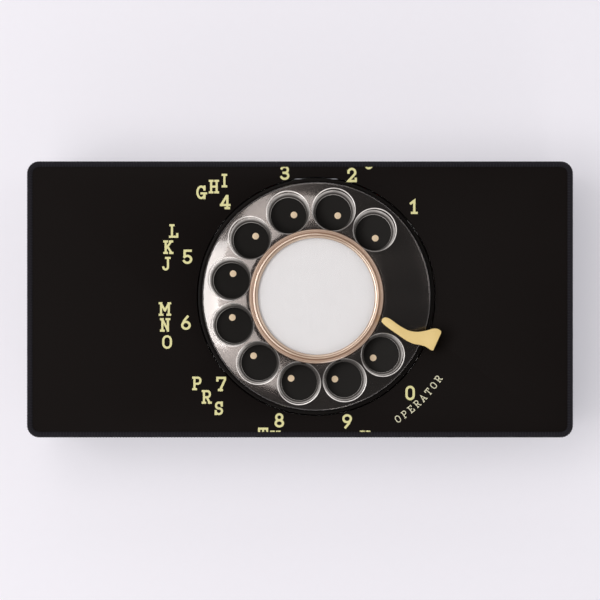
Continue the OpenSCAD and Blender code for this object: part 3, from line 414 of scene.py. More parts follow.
def soften(bm, width, segments=2, angle=30, where=None):
    """Rounds the sharp edges, or those of them that a test picks."""
    bmesh.ops.recalc_face_normals(bm, faces=bm.faces[:])
    sharp = [e for e in bm.edges if len(e.link_faces) == 2 and e.calc_face_angle(0) > math.radians(angle)]
    bmesh.ops.bevel(bm, geom=[e for e in sharp if where is None or where(e)], affect="EDGES", offset=width,
                    segments=segments, profile=0.5, material=-1, clamp_overlap=True)
    return bm


sheet_low, sheet_high = reach("face_sheet")
sheet_corner = 3.0
sheet_opening_radius = 39.8
stop_angle = -20.0
stop_screw_circle = 41.3
stop_screw_radius = 0.8
sheet = stepped(case_width, case_depth, sheet_corner,
                [(0, sheet_low.z), (0, sheet_high.z - 0.08), (0.08, sheet_high.z)])
stop_screw_place = polar(stop_screw_circle, stop_angle, dial)
sheet = carve(sheet, rod(sheet_opening_radius, sheet_low.z - 1, sheet_high.z + 1, dial, 160),
              rod(stop_screw_radius, sheet_low.z - 1, sheet_high.z + 1, stop_screw_place, 20))
soften(sheet, 0.12, 2, 60, lambda e: (e.verts[0].co.z + e.verts[1].co.z) / 2 > sheet_high.z - 0.01)
satin = Finish("matt_black_sheet", {"Specular IOR Level": 0.05})
leather = satin.grain(2400, 2.0)
haze = satin.grain(24, 4.0)
flecks = satin.grain(9000, 1.0) > 0.76
satin.feed(Base_Color=satin.blend(flecks * 0.25 + haze * 0.35, paint(13, 9, 8), paint(30, 26, 25)),
           Roughness=satin.between(haze, 0.52, 0.68), Normal=satin.relief(leather, 0.000018))
piece("printed_sheet", sheet, satin, "case", ["face_sheet"])


# ---- Lettering --------------------------------------------------------------------------------
# Dial numbers, exchange letters and the word for the operator, screen printed on the sheet in
# thick pale yellow ink. The characters are drawn with a broad square nib.

nib = 0.17
low_line = nib / 2
cap_line = 1 - nib / 2


def arc(x, y, radius_x, radius_y, start, end, steps=14):
    """Points along an ellipse from one angle to another, in degrees."""
    sweep = [math.radians(start + (end - start) * k / steps) for k in range(steps + 1)]
    return [(x + radius_x * math.cos(a), y + radius_y * math.sin(a)) for a in sweep]


def ellipse(x, y, radius_x, radius_y):
    return arc(x, y, radius_x, radius_y, 0, 360, 28)


def serif(x, y, left=0.095, right=0.095):
    return [(x - left, y), (x + right, y)]


def stem(x):
    return [(x, low_line), (x, cap_line)]


bowl = arc(0.42, 0.695, 0.185, 0.22, 90, -90, 10)
bowl_stroke = [(0.17, cap_line)] + bowl + [(0.17, 0.475)]
CHARACTERS = {
    "1": (0.62, [[(0.10, 0.74), (0.33, cap_line), (0.33, low_line)], serif(0.33, low_line, 0.155, 0.155)]),
    "2": (0.68, [arc(0.33, 0.675, 0.235, 0.24, 165, -32) + [(0.10, low_line), (0.60, low_line), (0.60, 0.24)],
                 [(0.10, 0.66), (0.10, 0.76)]]),
    "3": (0.66, [arc(0.31, 0.705, 0.22, 0.21, 155, -90), arc(0.31, 0.29, 0.25, 0.205, 90, -155),
                 [(0.24, 0.495), (0.36, 0.495)]]),
    "4": (0.74, [[(0.11, 0.32), (0.44, 0.87)], [(0.085, 0.30), (0.66, 0.30)],
                 [(0.52, cap_line), (0.52, low_line)], serif(0.52, low_line, 0.105, 0.105)]),
    "5": (0.68, [[(0.56, cap_line), (0.15, cap_line), (0.14, 0.53)],
                 arc(0.33, 0.325, 0.26, 0.24, 138, -152)]),
    "6": (0.70, [ellipse(0.35, 0.32, 0.255, 0.235), [(0.13, 0.42), (0.24, 0.66), (0.46, cap_line)]]),
    "7": (0.66, [[(0.08, 0.74), (0.08, cap_line), (0.60, cap_line), (0.60, 0.80), (0.27, low_line)],
                 serif(0.29, low_line, 0.095, 0.095)]),
    "8": (0.68, [ellipse(0.34, 0.71, 0.205, 0.205), ellipse(0.34, 0.295, 0.25, 0.21)]),
    "9": (0.70, [ellipse(0.35, 0.68, 0.255, 0.235), [(0.57, 0.58), (0.46, 0.34), (0.24, low_line)]]),
    "0": (0.72, [arc(0.36, 0.66, 0.245, 0.26, 0, 180) + arc(0.36, 0.34, 0.245, 0.26, 180, 360)
                 + [(0.605, 0.66)]]),
    "A": (0.80, [[(0.14, low_line), (0.40, cap_line), (0.66, low_line)], [(0.24, 0.34), (0.56, 0.34)],
                 serif(0.14, low_line, 0.085, 0.085), serif(0.66, low_line, 0.085, 0.085)]),
    "C": (0.72, [arc(0.38, 0.50, 0.275, 0.415, 42, 318, 22), [(0.60, cap_line), (0.60, 0.68)]]),
    "E": (0.68, [[(0.60, 0.74), (0.60, cap_line), (0.06, cap_line)], [(0.18, cap_line), (0.18, low_line)],
                 [(0.06, low_line), (0.62, low_line), (0.62, 0.26)], [(0.18, 0.5), (0.44, 0.5)]]),
    "G": (0.78, [arc(0.38, 0.50, 0.275, 0.415, 44, 322, 22), [(0.62, cap_line), (0.62, 0.70)],
                 [(0.40, 0.42), (0.74, 0.42)], [(0.62, 0.42), (0.62, low_line)]]),
    "H": (0.76, [stem(0.18), stem(0.58),
                 [(0.18, 0.5), (0.58, 0.5)],
                 serif(0.18, low_line), serif(0.58, low_line), serif(0.18, cap_line), serif(0.58, cap_line)]),
    "I": (0.38, [stem(0.19), serif(0.19, low_line, 0.125, 0.125),
                 serif(0.19, cap_line, 0.125, 0.125)]),
    "J": (0.65, [[(0.43, cap_line)] + arc(0.26, 0.28, 0.17, 0.195, 0, -165, 12),
                 serif(0.43, cap_line, 0.135, 0.115)]),
    "K": (0.74, [stem(0.18), [(0.20, 0.40), (0.58, cap_line)],
                 [(0.32, 0.54), (0.60, low_line)],
                 serif(0.18, low_line), serif(0.18, cap_line), serif(0.58, cap_line, 0.095, 0.065),
                 serif(0.60, low_line, 0.085, 0.065)]),
    "L": (0.65, [[(0.20, cap_line), (0.20, low_line)], serif(0.20, cap_line, 0.105, 0.105),
                 [(0.06, low_line), (0.58, low_line), (0.58, 0.27)]]),
    "M": (0.93, [stem(0.18), stem(0.74),
                 [(0.21, 0.84), (0.46, 0.40)], [(0.71, 0.84), (0.46, 0.40)],
                 serif(0.18, low_line), serif(0.74, low_line), serif(0.18, cap_line, 0.095, 0.02),
                 serif(0.74, cap_line, 0.02, 0.095)]),
    "N": (0.74, [stem(0.18), stem(0.58),
                 [(0.21, 0.84), (0.55, 0.16)], serif(0.18, low_line), serif(0.18, cap_line, 0.095, 0.02),
                 serif(0.58, cap_line)]),
    "O": (0.76, [arc(0.38, 0.62, 0.275, 0.295, 0, 180) + arc(0.38, 0.38, 0.275, 0.295, 180, 360)
                 + [(0.655, 0.62)]]),
    "P": (0.68, [stem(0.17), bowl_stroke, serif(0.17, low_line, 0.085, 0.105),
                 serif(0.17, cap_line, 0.085, 0.02)]),
    "R": (0.74, [stem(0.17), bowl_stroke, [(0.38, 0.475), (0.58, low_line)],
                 serif(0.17, low_line, 0.085, 0.085), serif(0.17, cap_line, 0.085, 0.02),
                 serif(0.58, low_line, 0.04, 0.085)]),
    "S": (0.70, [arc(0.34, 0.70, 0.205, 0.215, 35, 270) + arc(0.34, 0.295, 0.225, 0.21, 90, -145),
                 [(0.55, cap_line), (0.55, 0.70)], [(0.11, low_line), (0.11, 0.30)]]),
    "T": (0.74, [[(0.08, 0.72), (0.08, cap_line), (0.66, cap_line), (0.66, 0.72)],
                 [(0.37, cap_line), (0.37, low_line)], serif(0.37, low_line)]),
    "U": (0.78, [[(0.18, cap_line), (0.18, 0.34)] + arc(0.39, 0.33, 0.21, 0.245, 180, 360)
                 + [(0.60, cap_line)],
                 serif(0.18, cap_line), serif(0.60, cap_line)]),
    "X": (0.78, [[(0.18, cap_line), (0.60, low_line)], [(0.60, cap_line), (0.18, low_line)],
                 serif(0.18, cap_line), serif(0.60, cap_line)]),
}


def extruded(bm, face):
    """Extrudes a face in place and gives back its new end."""
    grown = bmesh.ops.extrude_face_region(bm, geom=[face])["geom"]
    return next(item for item in grown if isinstance(item, bmesh.types.BMFace))


def nib_stroke(bm, path, width, low, high):
    """A flat ribbon of ink that a square nib of one width leaves along a path."""
    points = [Vector(point) for point in path]
    closed = (points[0] - points[-1]).length < 1e-6
    heads = [(b - a).normalized() for a, b in zip(points, points[1:])]
    stations = []
    for index, point in enumerate(points):
        before = heads[index - 1] if index else (heads[-1] if closed else heads[0])
        after = heads[index] if index < len(heads) else (heads[0] if closed else heads[-1])
        mitre = (before + after).normalized()
        across = Vector((-mitre.y, mitre.x)) / max(0.35, mitre.dot(after))
        overrun = 0.0 if closed or 0 < index < len(points) - 1 else width / 2 * (1 if index else -1)
        middle = point + mitre * overrun
        stations.append((middle + across * width / 2, middle - across * width / 2))
    (left, right), rest = stations[0], stations[1:]
    corners = [bm.verts.new((*left, low)), bm.verts.new((*right, low)), bm.verts.new((*right, high)),
               bm.verts.new((*left, high))]
    cap = bm.faces.new(corners)
    for left, right in rest:
        cap = extruded(bm, cap)
        for corner_vert, place in zip(cap.verts, ((left, low), (right, low), (right, high), (left, high))):
            corner_vert.co = (*place[0], place[1])


ink_base = sheet_high.z - 0.02
ink_top = sheet_high.z + 0.05


def character(letter, centre, size, turn=0.0, weight=nib):
    """One character of a cap height in millimetres, centred on a place and turned about it.
    Each stroke is a hair higher than the last, so that crossing strokes never share a surface."""
    width, strokes = CHARACTERS[letter]
    bm = bmesh.new()
    for index, path in enumerate(strokes):
        nib_stroke(bm, path, weight, ink_base, ink_top + 0.004 * index)
    bmesh.ops.translate(bm, verts=bm.verts[:], vec=(-width / 2, -0.5, 0))
    bmesh.ops.scale(bm, vec=(size, size, 1), verts=bm.verts[:])
    return placed(bm, (*centre, 0), math.radians(turn))


def trimmed(bm, edge_y):
    """Cuts ink off along the binding, on the side away from the middle of the case."""
    side = math.copysign(1, edge_y)
    everything = bm.verts[:] + bm.edges[:] + bm.faces[:]
    bmesh.ops.bisect_plane(bm, geom=everything, plane_co=(0, edge_y, 0), plane_no=(0, side, 0),
                           clear_outer=True)
    bmesh.ops.holes_fill(bm, edges=[e for e in bm.edges if e.is_boundary], sides=0)
    return bm


digit_size = 4.85
digit_weight = 0.16
letter_size = 4.6
letter_weight = 0.155
digit_places = {"1": (44.2, 42.5), "2": (42.2, 73.6), "3": (42.5, 104.2), "4": (43.7, 134.0),
                "5": (44.9, 162.9), "6": (44.3, 191.4), "7": (43.1, 222.6), "8": (43.1, 253.4),
                "9": (42.9, 283.9), "0": (44.9, 314.2)}
letter_places = {"G": (-32.9, 35.7), "H": (-28.7, 37.6), "I": (-25.2, 39.6), "L": (-42.1, 22.8),
                 "K": (-43.9, 17.4), "J": (-44.5, 11.9), "M": (-45.0, -3.2), "N": (-45.0, -8.5),
                 "O": (-44.3, -14.2), "P": (-34.4, -28.0), "R": (-31.1, -32.5), "S": (-27.0, -36.3)}
binding_edge = case_depth / 2 - 0.8
edge_letters = [("C", 22.8, 45.6), ("T", -12.3, -45.0), ("U", -8.2, -46.0), ("X", 21.7, -46.0)]

ink = mottled("yellow_ink", paint(210, 207, 150), paint(222, 219, 162), 500, 5200, (0.5, 0.68), 0.000012,
              Specular_IOR_Level=0.25)
for digit, (radius, angle) in digit_places.items():
    numeral = character(digit, polar(radius, angle, dial), digit_size, 0, digit_weight)
    piece("digit_" + digit, numeral, ink, "case")
for letter, place in letter_places.items():
    capital = character(letter, place, letter_size, 0, letter_weight)
    piece("letter_" + letter, capital, ink, "case")
for letter, x, y in edge_letters:
    whole = character(letter, (x, y), letter_size, 0, letter_weight)
    cut_off = trimmed(whole, math.copysign(binding_edge, y))
    piece("edge_letter_" + letter, cut_off, ink, "case")

word = "OPERATOR"
word_radius = 49.1
word_start, word_end = -56.3, -34.0
word_size = 2.6
word_weight = 0.11
pale_ink = mottled("cream_ink", paint(206, 204, 174), paint(220, 218, 192), 500, 5200, (0.5, 0.68), 0.000012,
                   Specular_IOR_Level=0.25)
letters = []
for index, letter in enumerate(word):
    angle = word_start + (word_end - word_start) * index / (len(word) - 1)
    letters.append(character(letter, polar(word_radius, angle, dial), word_size, angle + 90, word_weight))
piece("operator_word", joined(*letters), pale_ink, "case")


# ---- Edge binding -----------------------------------------------------------------------------
# A strip of dark woven tape folded over the rim of the case and down its side. Close overlock
# stitches in a slightly lighter thread hold it along the top.

trim_low, trim_high = reach("edge_trim")
trim_width = trim_high.x - trim_low.x
trim_depth = trim_high.y - trim_low.y
trim_corner = 4.0
trim_section = [(0.25, trim_low.z), (0.0, trim_low.z + 0.35), (0.0, 43.5), (0.12, 44.0), (0.4, 44.32),
                (0.9, 44.5), (1.4, 44.42), (1.72, 44.2), (1.8, sheet_high.z + 0.01),
                (1.0, sheet_high.z + 0.01), (1.02, trim_low.z)]
binding = stepped(trim_width, trim_depth, trim_corner, trim_section, closed=True)
woven = Finish("woven_tape", {"Specular IOR Level": 0.2})
threads = woven.grain(5200, 1.0, (1, 1, 0.25))
cloud = woven.grain(80, 3.0)
woven.feed(Base_Color=woven.blend(threads * 0.6 + cloud * 0.4, paint(14, 13, 18), paint(31, 29, 37)),
           Roughness=woven.between(threads, 0.75, 0.95), Normal=woven.relief(threads, 0.00006))
piece("binding_tape", binding, woven, "case", ["edge_trim"])

stitch_pitch = 0.95
stitch_radius = 0.17
stitch_sides = 6
stitch_slant = 0.22


def stations_round(width, depth, radius, pitch):
    """Places and outward directions at equal steps round a rounded rectangle."""
    half_x = width / 2 - radius
    half_y = depth / 2 - radius
    quarter = math.pi / 2 * radius
    runs = [((half_x, -half_y), 0, 2 * half_y), ((half_x, half_y), 90, 2 * half_x),
            ((-half_x, half_y), 180, 2 * half_y), ((-half_x, -half_y), 270, 2 * half_x)]
    found = []
    for (x, y), facing, length in runs:
        out = Vector((math.cos(math.radians(facing)), math.sin(math.radians(facing))))
        ahead = Vector((-out.y, out.x))
        count = round(length / pitch)
        for k in range(count):
            found.append((Vector((x, y)) + out * radius + ahead * (length * (k + 0.5) / count), facing))
        corner_middle = Vector((x, y)) + ahead * length
        count = round(quarter / pitch)
        for k in range(count):
            turn = facing + 90 * (k + 0.5) / count
            found.append((Vector(polar(radius, turn, corner_middle)), turn))
    return found


stitch = bmesh.new()
bmesh.ops.create_circle(stitch, cap_ends=True, radius=stitch_radius, segments=stitch_sides)
stitch_cap = stitch.faces[:][0]
bmesh.ops.rotate(stitch, verts=stitch.verts[:], matrix=Matrix.Rotation(math.pi / 2, 3, "Y"))
stitch_bends = [(0.02, 43.4), (0.06, 43.95), (0.38, 44.30), (0.9, 44.49), (1.45, 44.40), (1.84, 44.05)]
for index, (inward, height) in enumerate(stitch_bends):
    if index:
        stitch_cap = extruded(stitch, stitch_cap)
    before = Vector(stitch_bends[max(index - 1, 0)])
    after = Vector(stitch_bends[min(index + 1, len(stitch_bends) - 1)])
    heading = (after - before).normalized()
    lean = stitch_slant * index / len(stitch_bends)
    for k, vert in enumerate(stitch_cap.verts):
        a = math.tau * k / stitch_sides
        up = Vector((heading.y, -heading.x)) * -stitch_radius * math.cos(a)
        vert.co = (-(inward + up.x), lean + stitch_radius * math.sin(a), height + up.y)
bmesh.ops.recalc_face_normals(stitch, faces=stitch.faces[:])
stitch_mesh = bpy.data.meshes.new("stitch")
stitch.to_mesh(stitch_mesh)
stitch.free()
overlock = bmesh.new()
for place, facing in stations_round(trim_width, trim_depth, trim_corner, stitch_pitch):
    first = len(overlock.verts)
    overlock.from_mesh(stitch_mesh)
    overlock.verts.ensure_lookup_table()
    placed(overlock, (*place, 0), math.radians(facing), verts=overlock.verts[first:])
thread = mottled("overlock_thread", paint(16, 15, 20), paint(30, 28, 35), 160, 7000, (0.6, 0.85), 0.00003,
                 Specular_IOR_Level=0.3)
piece("overlock_stitches", overlock, thread, "case")


# ---- Ringer -----------------------------------------------------------------------------------
# A polarised bell: a steel frame and core, a wound coil on its bobbin, a magnet, and an armature
# whose clapper swings between two brass gongs. It is riveted up and screwed to the base plate.

def dress(finish, *nodes):
    """Gives CAD nodes a finish. Their shape is already right."""
    for node in nodes:
        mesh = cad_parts[node].data
        if not mesh.materials:
            mesh.materials.append(finish.material)
        for index in range(len(mesh.materials)):
            mesh.materials[index] = finish.material


steel = mottled("bright_steel", (0.42, 0.42, 0.44, 1), (0.60, 0.60, 0.61, 1), 120, 2200, (0.22, 0.40),
                0.000008, (1, 1, 8), Metallic=1.0)
brass = mottled("turned_brass", (0.56, 0.38, 0.13, 1), (0.80, 0.58, 0.25, 1), 140, 2600, (0.20, 0.36),
                0.000006, (1, 1, 6), Metallic=1.0)
nylon = mottled("cream_nylon", paint(214, 206, 184), paint(230, 224, 206), 110, 1500, (0.40, 0.52), 0.000010,
                Specular_IOR_Level=0.45)
gong_metal = mottled("nickel_gong", (0.50, 0.47, 0.42, 1), (0.70, 0.66, 0.60, 1), 60, 1400, (0.12, 0.26),
                     0.000006, (1, 1, 9), Metallic=1.0)
magnet_metal = mottled("cast_magnet", (0.10, 0.10, 0.11, 1), (0.22, 0.22, 0.23, 1), 220, 1900, (0.45, 0.65),
                       0.00003, Metallic=0.8)
copper = Finish("enamelled_copper", {"Metallic": 0.9, "Coat Weight": 0.5, "Coat Roughness": 0.15})
turns = copper.grain(600, 0.0, (6, 0.05, 0.05))
copper.feed(Base_Color=copper.blend(turns, (0.36, 0.11, 0.04, 1), (0.78, 0.33, 0.14, 1)),
            Roughness=copper.between(turns, 0.26, 0.42), Normal=copper.relief(turns, 0.00008))
dress(steel, "ringer_frame", "ringer_armature", "gong_posts")
dress(brass, "clapper")
dress(nylon, "coil_bobbin")
dress(copper, "ringer_coil")
dress(magnet_metal, "ringer_magnet")
dress(gong_metal, "gong_low", "gong_high")


# ---- Speech network ---------------------------------------------------------------------------
# The transformer, capacitors and resistors potted in a drawn can, with a brown fibre board of
# screw terminals on top and the hookup leads that run to the dial's contacts and the ringer.

can_steel = mottled("grey_enamel", paint(92, 96, 98), paint(112, 116, 117), 50, 1300, (0.34, 0.50), 0.00002,
                    Specular_IOR_Level=0.5)
fibre = mottled("brown_fibre", paint(92, 58, 34), paint(128, 84, 50), 160, 2600, (0.5, 0.7), 0.00002,
                (1, 5, 1), Specular_IOR_Level=0.4)
lead_cover = mottled("lead_cover", paint(150, 40, 32), paint(176, 56, 44), 120, 1700, (0.42, 0.6), 0.00001,
                     Specular_IOR_Level=0.45)
dress(can_steel, "network_can")
dress(fibre, "terminal_board")
dress(brass, "terminal_screws")
dress(lead_cover, "hookup_leads")


# ---- Dial movement ----------------------------------------------------------------------------
# Zinc-plated plates held apart by brass pillars carry the shaft, the mainspring, the wheel train
# and the centrifugal governor. The ratchet lets the dial wind up freely and drives it back.

zinc = mottled("zinc_plate", (0.44, 0.45, 0.47, 1), (0.64, 0.65, 0.66, 1), 90, 900, (0.30, 0.50), 0.00001,
               Metallic=1.0)
blued = mottled("blued_spring", (0.09, 0.11, 0.20, 1), (0.22, 0.25, 0.36, 1), 150, 1700, (0.20, 0.34),
                0.000006, (1, 1, 6), Metallic=1.0)
silver = mottled("nickel_silver", (0.58, 0.55, 0.48, 1), (0.76, 0.73, 0.66, 1), 150, 1900, (0.22, 0.36),
                 0.000006, (6, 1, 1), Metallic=1.0)
dress(zinc, "dial_frame", "bridge_plate", "governor_cup", "governor_bracket", "spring_brackets", "wheel_hub")
dress(steel, "frame_screws", "pillar_screws", "main_shaft", "ratchet_wheel", "click_pawl", "click_spring",
      "second_arbor", "governor_shaft", "governor_worm", "finger_stop_screw")
dress(brass, "main_bearing", "bridge_pillars", "main_wheel", "pinion", "governor_carrier",
      "governor_shoe_a", "governor_shoe_b", "shaft_nut")
dress(blued, "mainspring")
dress(nylon, "pulse_cam", "worm_wheel")
dress(fibre, "pulse_lever", "spring_insulators")
dress(silver, "pulse_springs", "off_normal_springs")


# ---- Number plate -----------------------------------------------------------------------------
# A pressed steel disc in satin black enamel, fixed in the housing's opening under the wheel.
# A cream index dot is printed under each finger hole.

plate_radius = (plate_high.x - plate_low.x) / 2
plate_bore = 11.5
plate = turned([
    (plate_bore, plate_low.z), (plate_radius - 0.3, plate_low.z), (plate_radius, plate_low.z + 0.3),
    (plate_radius, plate_high.z - 0.35), (plate_radius - 0.12, plate_high.z - 0.1),
    (plate_radius - 0.4, plate_high.z), (plate_radius - 1.0, plate_high.z),
    (plate_radius - 1.3, plate_high.z - 0.12), (14.0, plate_high.z - 0.12), (13.4, plate_high.z - 0.3),
    (plate_bore + 0.3, plate_high.z - 0.3), (plate_bore, plate_high.z - 0.5)],
    dial, 160)
enamel = Finish("satin_black_enamel", {"Specular IOR Level": 0.08})
orange_peel = enamel.grain(1500, 2.0)
cloud = enamel.grain(40, 3.0)
sprayed = enamel.blend(cloud * 0.7 + orange_peel * 0.3, paint(24, 23, 22), paint(34, 33, 32))
# Painted shade: outside the wheel's underside, in the gap to the face sheet, the plate is painted darker.
gap_shade_from = 37.6
painted_gap_shade_mask = enamel.reach_from(dial) > gap_shade_from * MM
enamel.feed(Base_Color=enamel.blend(painted_gap_shade_mask, sprayed, paint(12, 9, 8)),
            Roughness=enamel.between(orange_peel, 0.45, 0.6), Normal=enamel.relief(orange_peel, 0.00001))
piece("dial_plate", plate, enamel, "case", ["number_plate"])

hole_pitch = 30.0
hole_count = 10
dot_radius = 1.1
dot_circle = 28.2
dot_centre = (dial[0] - 0.6, dial[1] - 0.2)
first_dot = 44.0
dot_ink = mottled("dot_ink", paint(224, 202, 168), paint(236, 216, 186), 600, 5200, (0.45, 0.6), 0.00001,
                  Specular_IOR_Level=0.3)
dot_low = plate_high.z - 0.14
dots = [turned([(0, dot_low), (dot_radius, dot_low), (dot_radius, dot_low + 0.05),
                (dot_radius - 0.06, dot_low + 0.08), (0, dot_low + 0.08)],
               polar(dot_circle, first_dot + hole_pitch * k, dot_centre), 32, closed=False)
        for k in range(hole_count)]
piece("index_dots", joined(*dots), dot_ink, "case")


# ---- Finger wheel -----------------------------------------------------------------------------
# A domed disc moulded in smoke-clear acrylic. Its ten tapered finger holes have glossy walls
# and a fine raised lip, and its rim is rolled. Walls and lips carry a painted highlight and glow.
# It is clamped to the hub by the shaft's nut.

wheel_low, wheel_high = reach("finger_wheel")
under = wheel_low.z
web_top = under + 2.0
wheel_bore = 2.5
dome_rises = [(38.0, 0.4), (38.0, 1.6), (37.93, 2.1), (37.8, 2.3), (37.6, 2.40), (37.3, 2.48), (36.0, 2.82),
              (34.0, 3.30), (31.3, 3.83), (28.5, 4.24), (25.8, 4.60)]
dome = [(radius, under + rise) for radius, rise in dome_rises] + [(23.4, wheel_high.z)]


def dome_height(radius):
    """Height of the wheel's outer surface at a distance from the axis."""
    for (outer, low), (inner, high) in zip(dome, dome[1:]):
        if inner <= radius <= outer and outer > inner:
            return low + (high - low) * (outer - radius) / (outer - inner)
    return wheel_high.z


well = [(22.6, wheel_high.z - 0.03), (22.45, wheel_high.z - 0.15), (22.4, web_top), (wheel_bore, web_top)]
wheel = turned([(wheel_bore, under), (37.6, under)] + dome + well, dial, 192)
hole_circle = 29.3
first_hole = 48.7
hole_top = 7.0
hole_bottom = 5.95
lean_inwards = 0.5
lean_forwards = 0.4
hole_low = under - 0.6
hole_high = under + 4.2
lip_radius = hole_top + 0.15
lip_bead = 0.18
lip_sides = 8
tools = []
beads = []
for index in range(hole_count):
    angle = first_hole + hole_pitch * index
    middle = polar(hole_circle, angle, dial)
    outward = polar(1.0, angle)
    slide = (-lean_inwards * outward[0], -lean_inwards * outward[1] - lean_forwards)
    tool = turned([(0, hole_low), (hole_bottom, hole_low), (hole_bottom, under),
                   (hole_bottom + (hole_top - hole_bottom) * 0.5, (under + hole_high) / 2 - 0.25),
                   (hole_top, hole_high), (hole_top, hole_high + 3), (0, hole_high + 3)],
                  middle, 72, closed=False)
    for vert in tool.verts:
        share = min(max((hole_high - vert.co.z) / (hole_high - under), 0), 1)
        vert.co.x += slide[0] * share
        vert.co.y += slide[1] * share
    tools.append(tool)
    bead_profile = [(lip_radius + lip_bead * math.cos(a), lip_bead * math.sin(a))
                    for a in (math.tau * k / lip_sides for k in range(lip_sides))]
    bead = turned(bead_profile, middle, 72)
    for vert in bead.verts:
        vert.co.z += dome_height(math.hypot(vert.co.x - dial[0], vert.co.y - dial[1]))
    beads.append(bead)
wheel = carve(wheel, *tools)
acrylic = Finish("smoke_clear_acrylic", {
    "IOR": 2.0, "Specular IOR Level": 0.6, "Coat Weight": 1.0, "Coat IOR": 1.8, "Coat Roughness": 0.07,
    "Specular Tint": (1.0, 0.90, 0.86, 1)})
streaks = acrylic.grain(30, 3.0, (1, 3, 1))
scuffs = acrylic.grain(1400, 2.0)
acrylic.feed(Base_Color=acrylic.blend(streaks, (0.008, 0.007, 0.0065, 1), (0.017, 0.015, 0.013, 1)),
             Roughness=acrylic.between(streaks * 0.7 + scuffs * 0.3, 0.10, 0.24),
             Alpha=acrylic.between(streaks, 0.50, 0.62),
             Normal=acrylic.relief(streaks * 0.8 + scuffs * 0.02, 0.00025))
acrylic.material.surface_render_method = "BLENDED"
clear_disc = piece("clear_wheel", wheel, acrylic, "dial", ["finger_wheel"])

# Painted highlight and glow: the hole walls and the lips are coloured bright and emit light at the wall's top
# and bottom edges and on the side away from the axis, with painted shade in the middle, in place of
# reflections in clear acrylic. The smears noise breaks up the painted highlight and also varies real
# roughness and clarity.
gloss_and_painted_glow = Finish("hole_wall_gloss_and_painted_glow", {"IOR": 1.6, "Coat Weight": 1.0, "Coat Roughness": 0.05,
                                       "Emission Strength": 0.75})
smears = gloss_and_painted_glow.grain(260, 2.0)
height = gloss_and_painted_glow.node("SeparateXYZ", sockets={0: gloss_and_painted_glow.node("TexCoord", output="Object")}, output=2)
wall_height = 4.8
up_the_wall = (height - under * MM) * (1 / (wall_height * MM))
# Painted highlight colours for the wall's edges, and painted shade for its middle, set by height up the wall.
lit_edge = (0.84, 0.80, 0.77, 1)
painted_shade_middle = (0.05, 0.045, 0.042, 1)
half_lit = (0.55, 0.52, 0.50, 1)
edge_highlight_stops = [(0.0, lit_edge), (0.08, painted_shade_middle), (0.26, painted_shade_middle), (0.48, half_lit), (0.70, lit_edge)]
edges = gloss_and_painted_glow.node("ValToRGB", {"stops": edge_highlight_stops}, {0: up_the_wall})
# Painted highlight mask: the side of each hole away from the axis is brighter.
outer_side_highlight_mask = gloss_and_painted_glow.node("MapRange", {"interpolation_type": "SMOOTHSTEP"},
                         {0: gloss_and_painted_glow.reach_from(dial), 1: 0.0250, 2: 0.0330, 3: 0.12, 4: 1.0})
glow = gloss_and_painted_glow.blend(smears * 0.9, edges, painted_shade_middle)
outward_glow = gloss_and_painted_glow.blend(outer_side_highlight_mask, painted_shade_middle, glow)
gloss_and_painted_glow.feed(Base_Color=outward_glow, Emission_Color=outward_glow,
            Roughness=gloss_and_painted_glow.between(smears, 0.12, 0.3), Alpha=gloss_and_painted_glow.between(smears, 0.92, 1.0))
clear_disc.data.materials.append(gloss_and_painted_glow.material)
# The steep walls of the finger holes take the painted glow.
holes_from, holes_to = 22.6, 37.0
steepest_dome = 0.75
for face in clear_disc.data.polygons:
    from_axis = math.hypot(face.center.x / MM - dial[0], face.center.y / MM - dial[1])
    below_crown = face.center.z / MM < wheel_high.z - 0.2
    if holes_from < from_axis < holes_to and abs(face.normal.z) < steepest_dome and below_crown:
        face.material_index = 1
# The lips carry the same painted highlight and glow.
piece("hole_lips", joined(*beads), gloss_and_painted_glow, "dial")


# ---- Card holder ------------------------------------------------------------------------------
# A plated seat, a blank white paper card and a clear window, held down in the middle of the wheel
# by a turned ring of peach-tinted acrylic. The ring's top has fine turned steps.

seat_low, seat_high = reach("card_seat")
seat_radius = (seat_high.x - seat_low.x) / 2
piece("card_cup", turned([(0, seat_low.z + 1.7), (6.5, seat_low.z + 1.7), (6.9, seat_low.z + 1.3),
                          (6.9, seat_low.z), (seat_radius, seat_low.z), (seat_radius, seat_high.z - 0.2),
                          (seat_radius - 0.2, seat_high.z), (0, seat_high.z)], dial, 128, closed=False),
      zinc, "dial", ["card_seat"])

card_low, card_high = reach("number_card")
card_radius = (card_high.x - card_low.x) / 2
paper = Finish("white_card", {"Specular IOR Level": 0.2})
fibres = paper.grain(1500, 4.0, (1.0, 0.12, 1.0))
cloud = paper.grain(60, 3.0)
paper.feed(Base_Color=paper.blend(fibres * 0.6 + cloud * 0.4, paint(220, 220, 222), paint(230, 230, 231)),
           Roughness=paper.between(fibres, 0.75, 0.9), Normal=paper.relief(fibres, 0.000003))
piece("blank_card", turned([(0, card_low.z), (card_radius, card_low.z), (card_radius, card_high.z - 0.05),
                            (card_radius - 0.05, card_high.z), (0, card_high.z)], dial, 128, closed=False),
      paper, "dial", ["number_card"])

window_low, window_high = reach("card_window")
window_radius = (window_high.x - window_low.x) / 2
window_clear = Finish("clear_window", {"IOR": 1.45, "Specular IOR Level": 0.35})
smears = window_clear.grain(80, 4.0)
window_clear.feed(Base_Color=window_clear.blend(smears, (0.9, 0.9, 0.9, 1), (1, 1, 1, 1)),
                  Roughness=window_clear.between(smears, 0.03, 0.10),
                  Alpha=window_clear.between(smears, 0.06, 0.10))
window_clear.material.surface_render_method = "BLENDED"
piece("window_disc", turned([(0, window_low.z + 0.01), (window_radius - 0.02, window_low.z + 0.01),
                             (window_radius - 0.02, window_high.z - 0.15),
                             (window_radius - 0.2, window_high.z - 0.02), (0, window_high.z)],
                            dial, 128, closed=False),
      window_clear, "dial", ["card_window"])

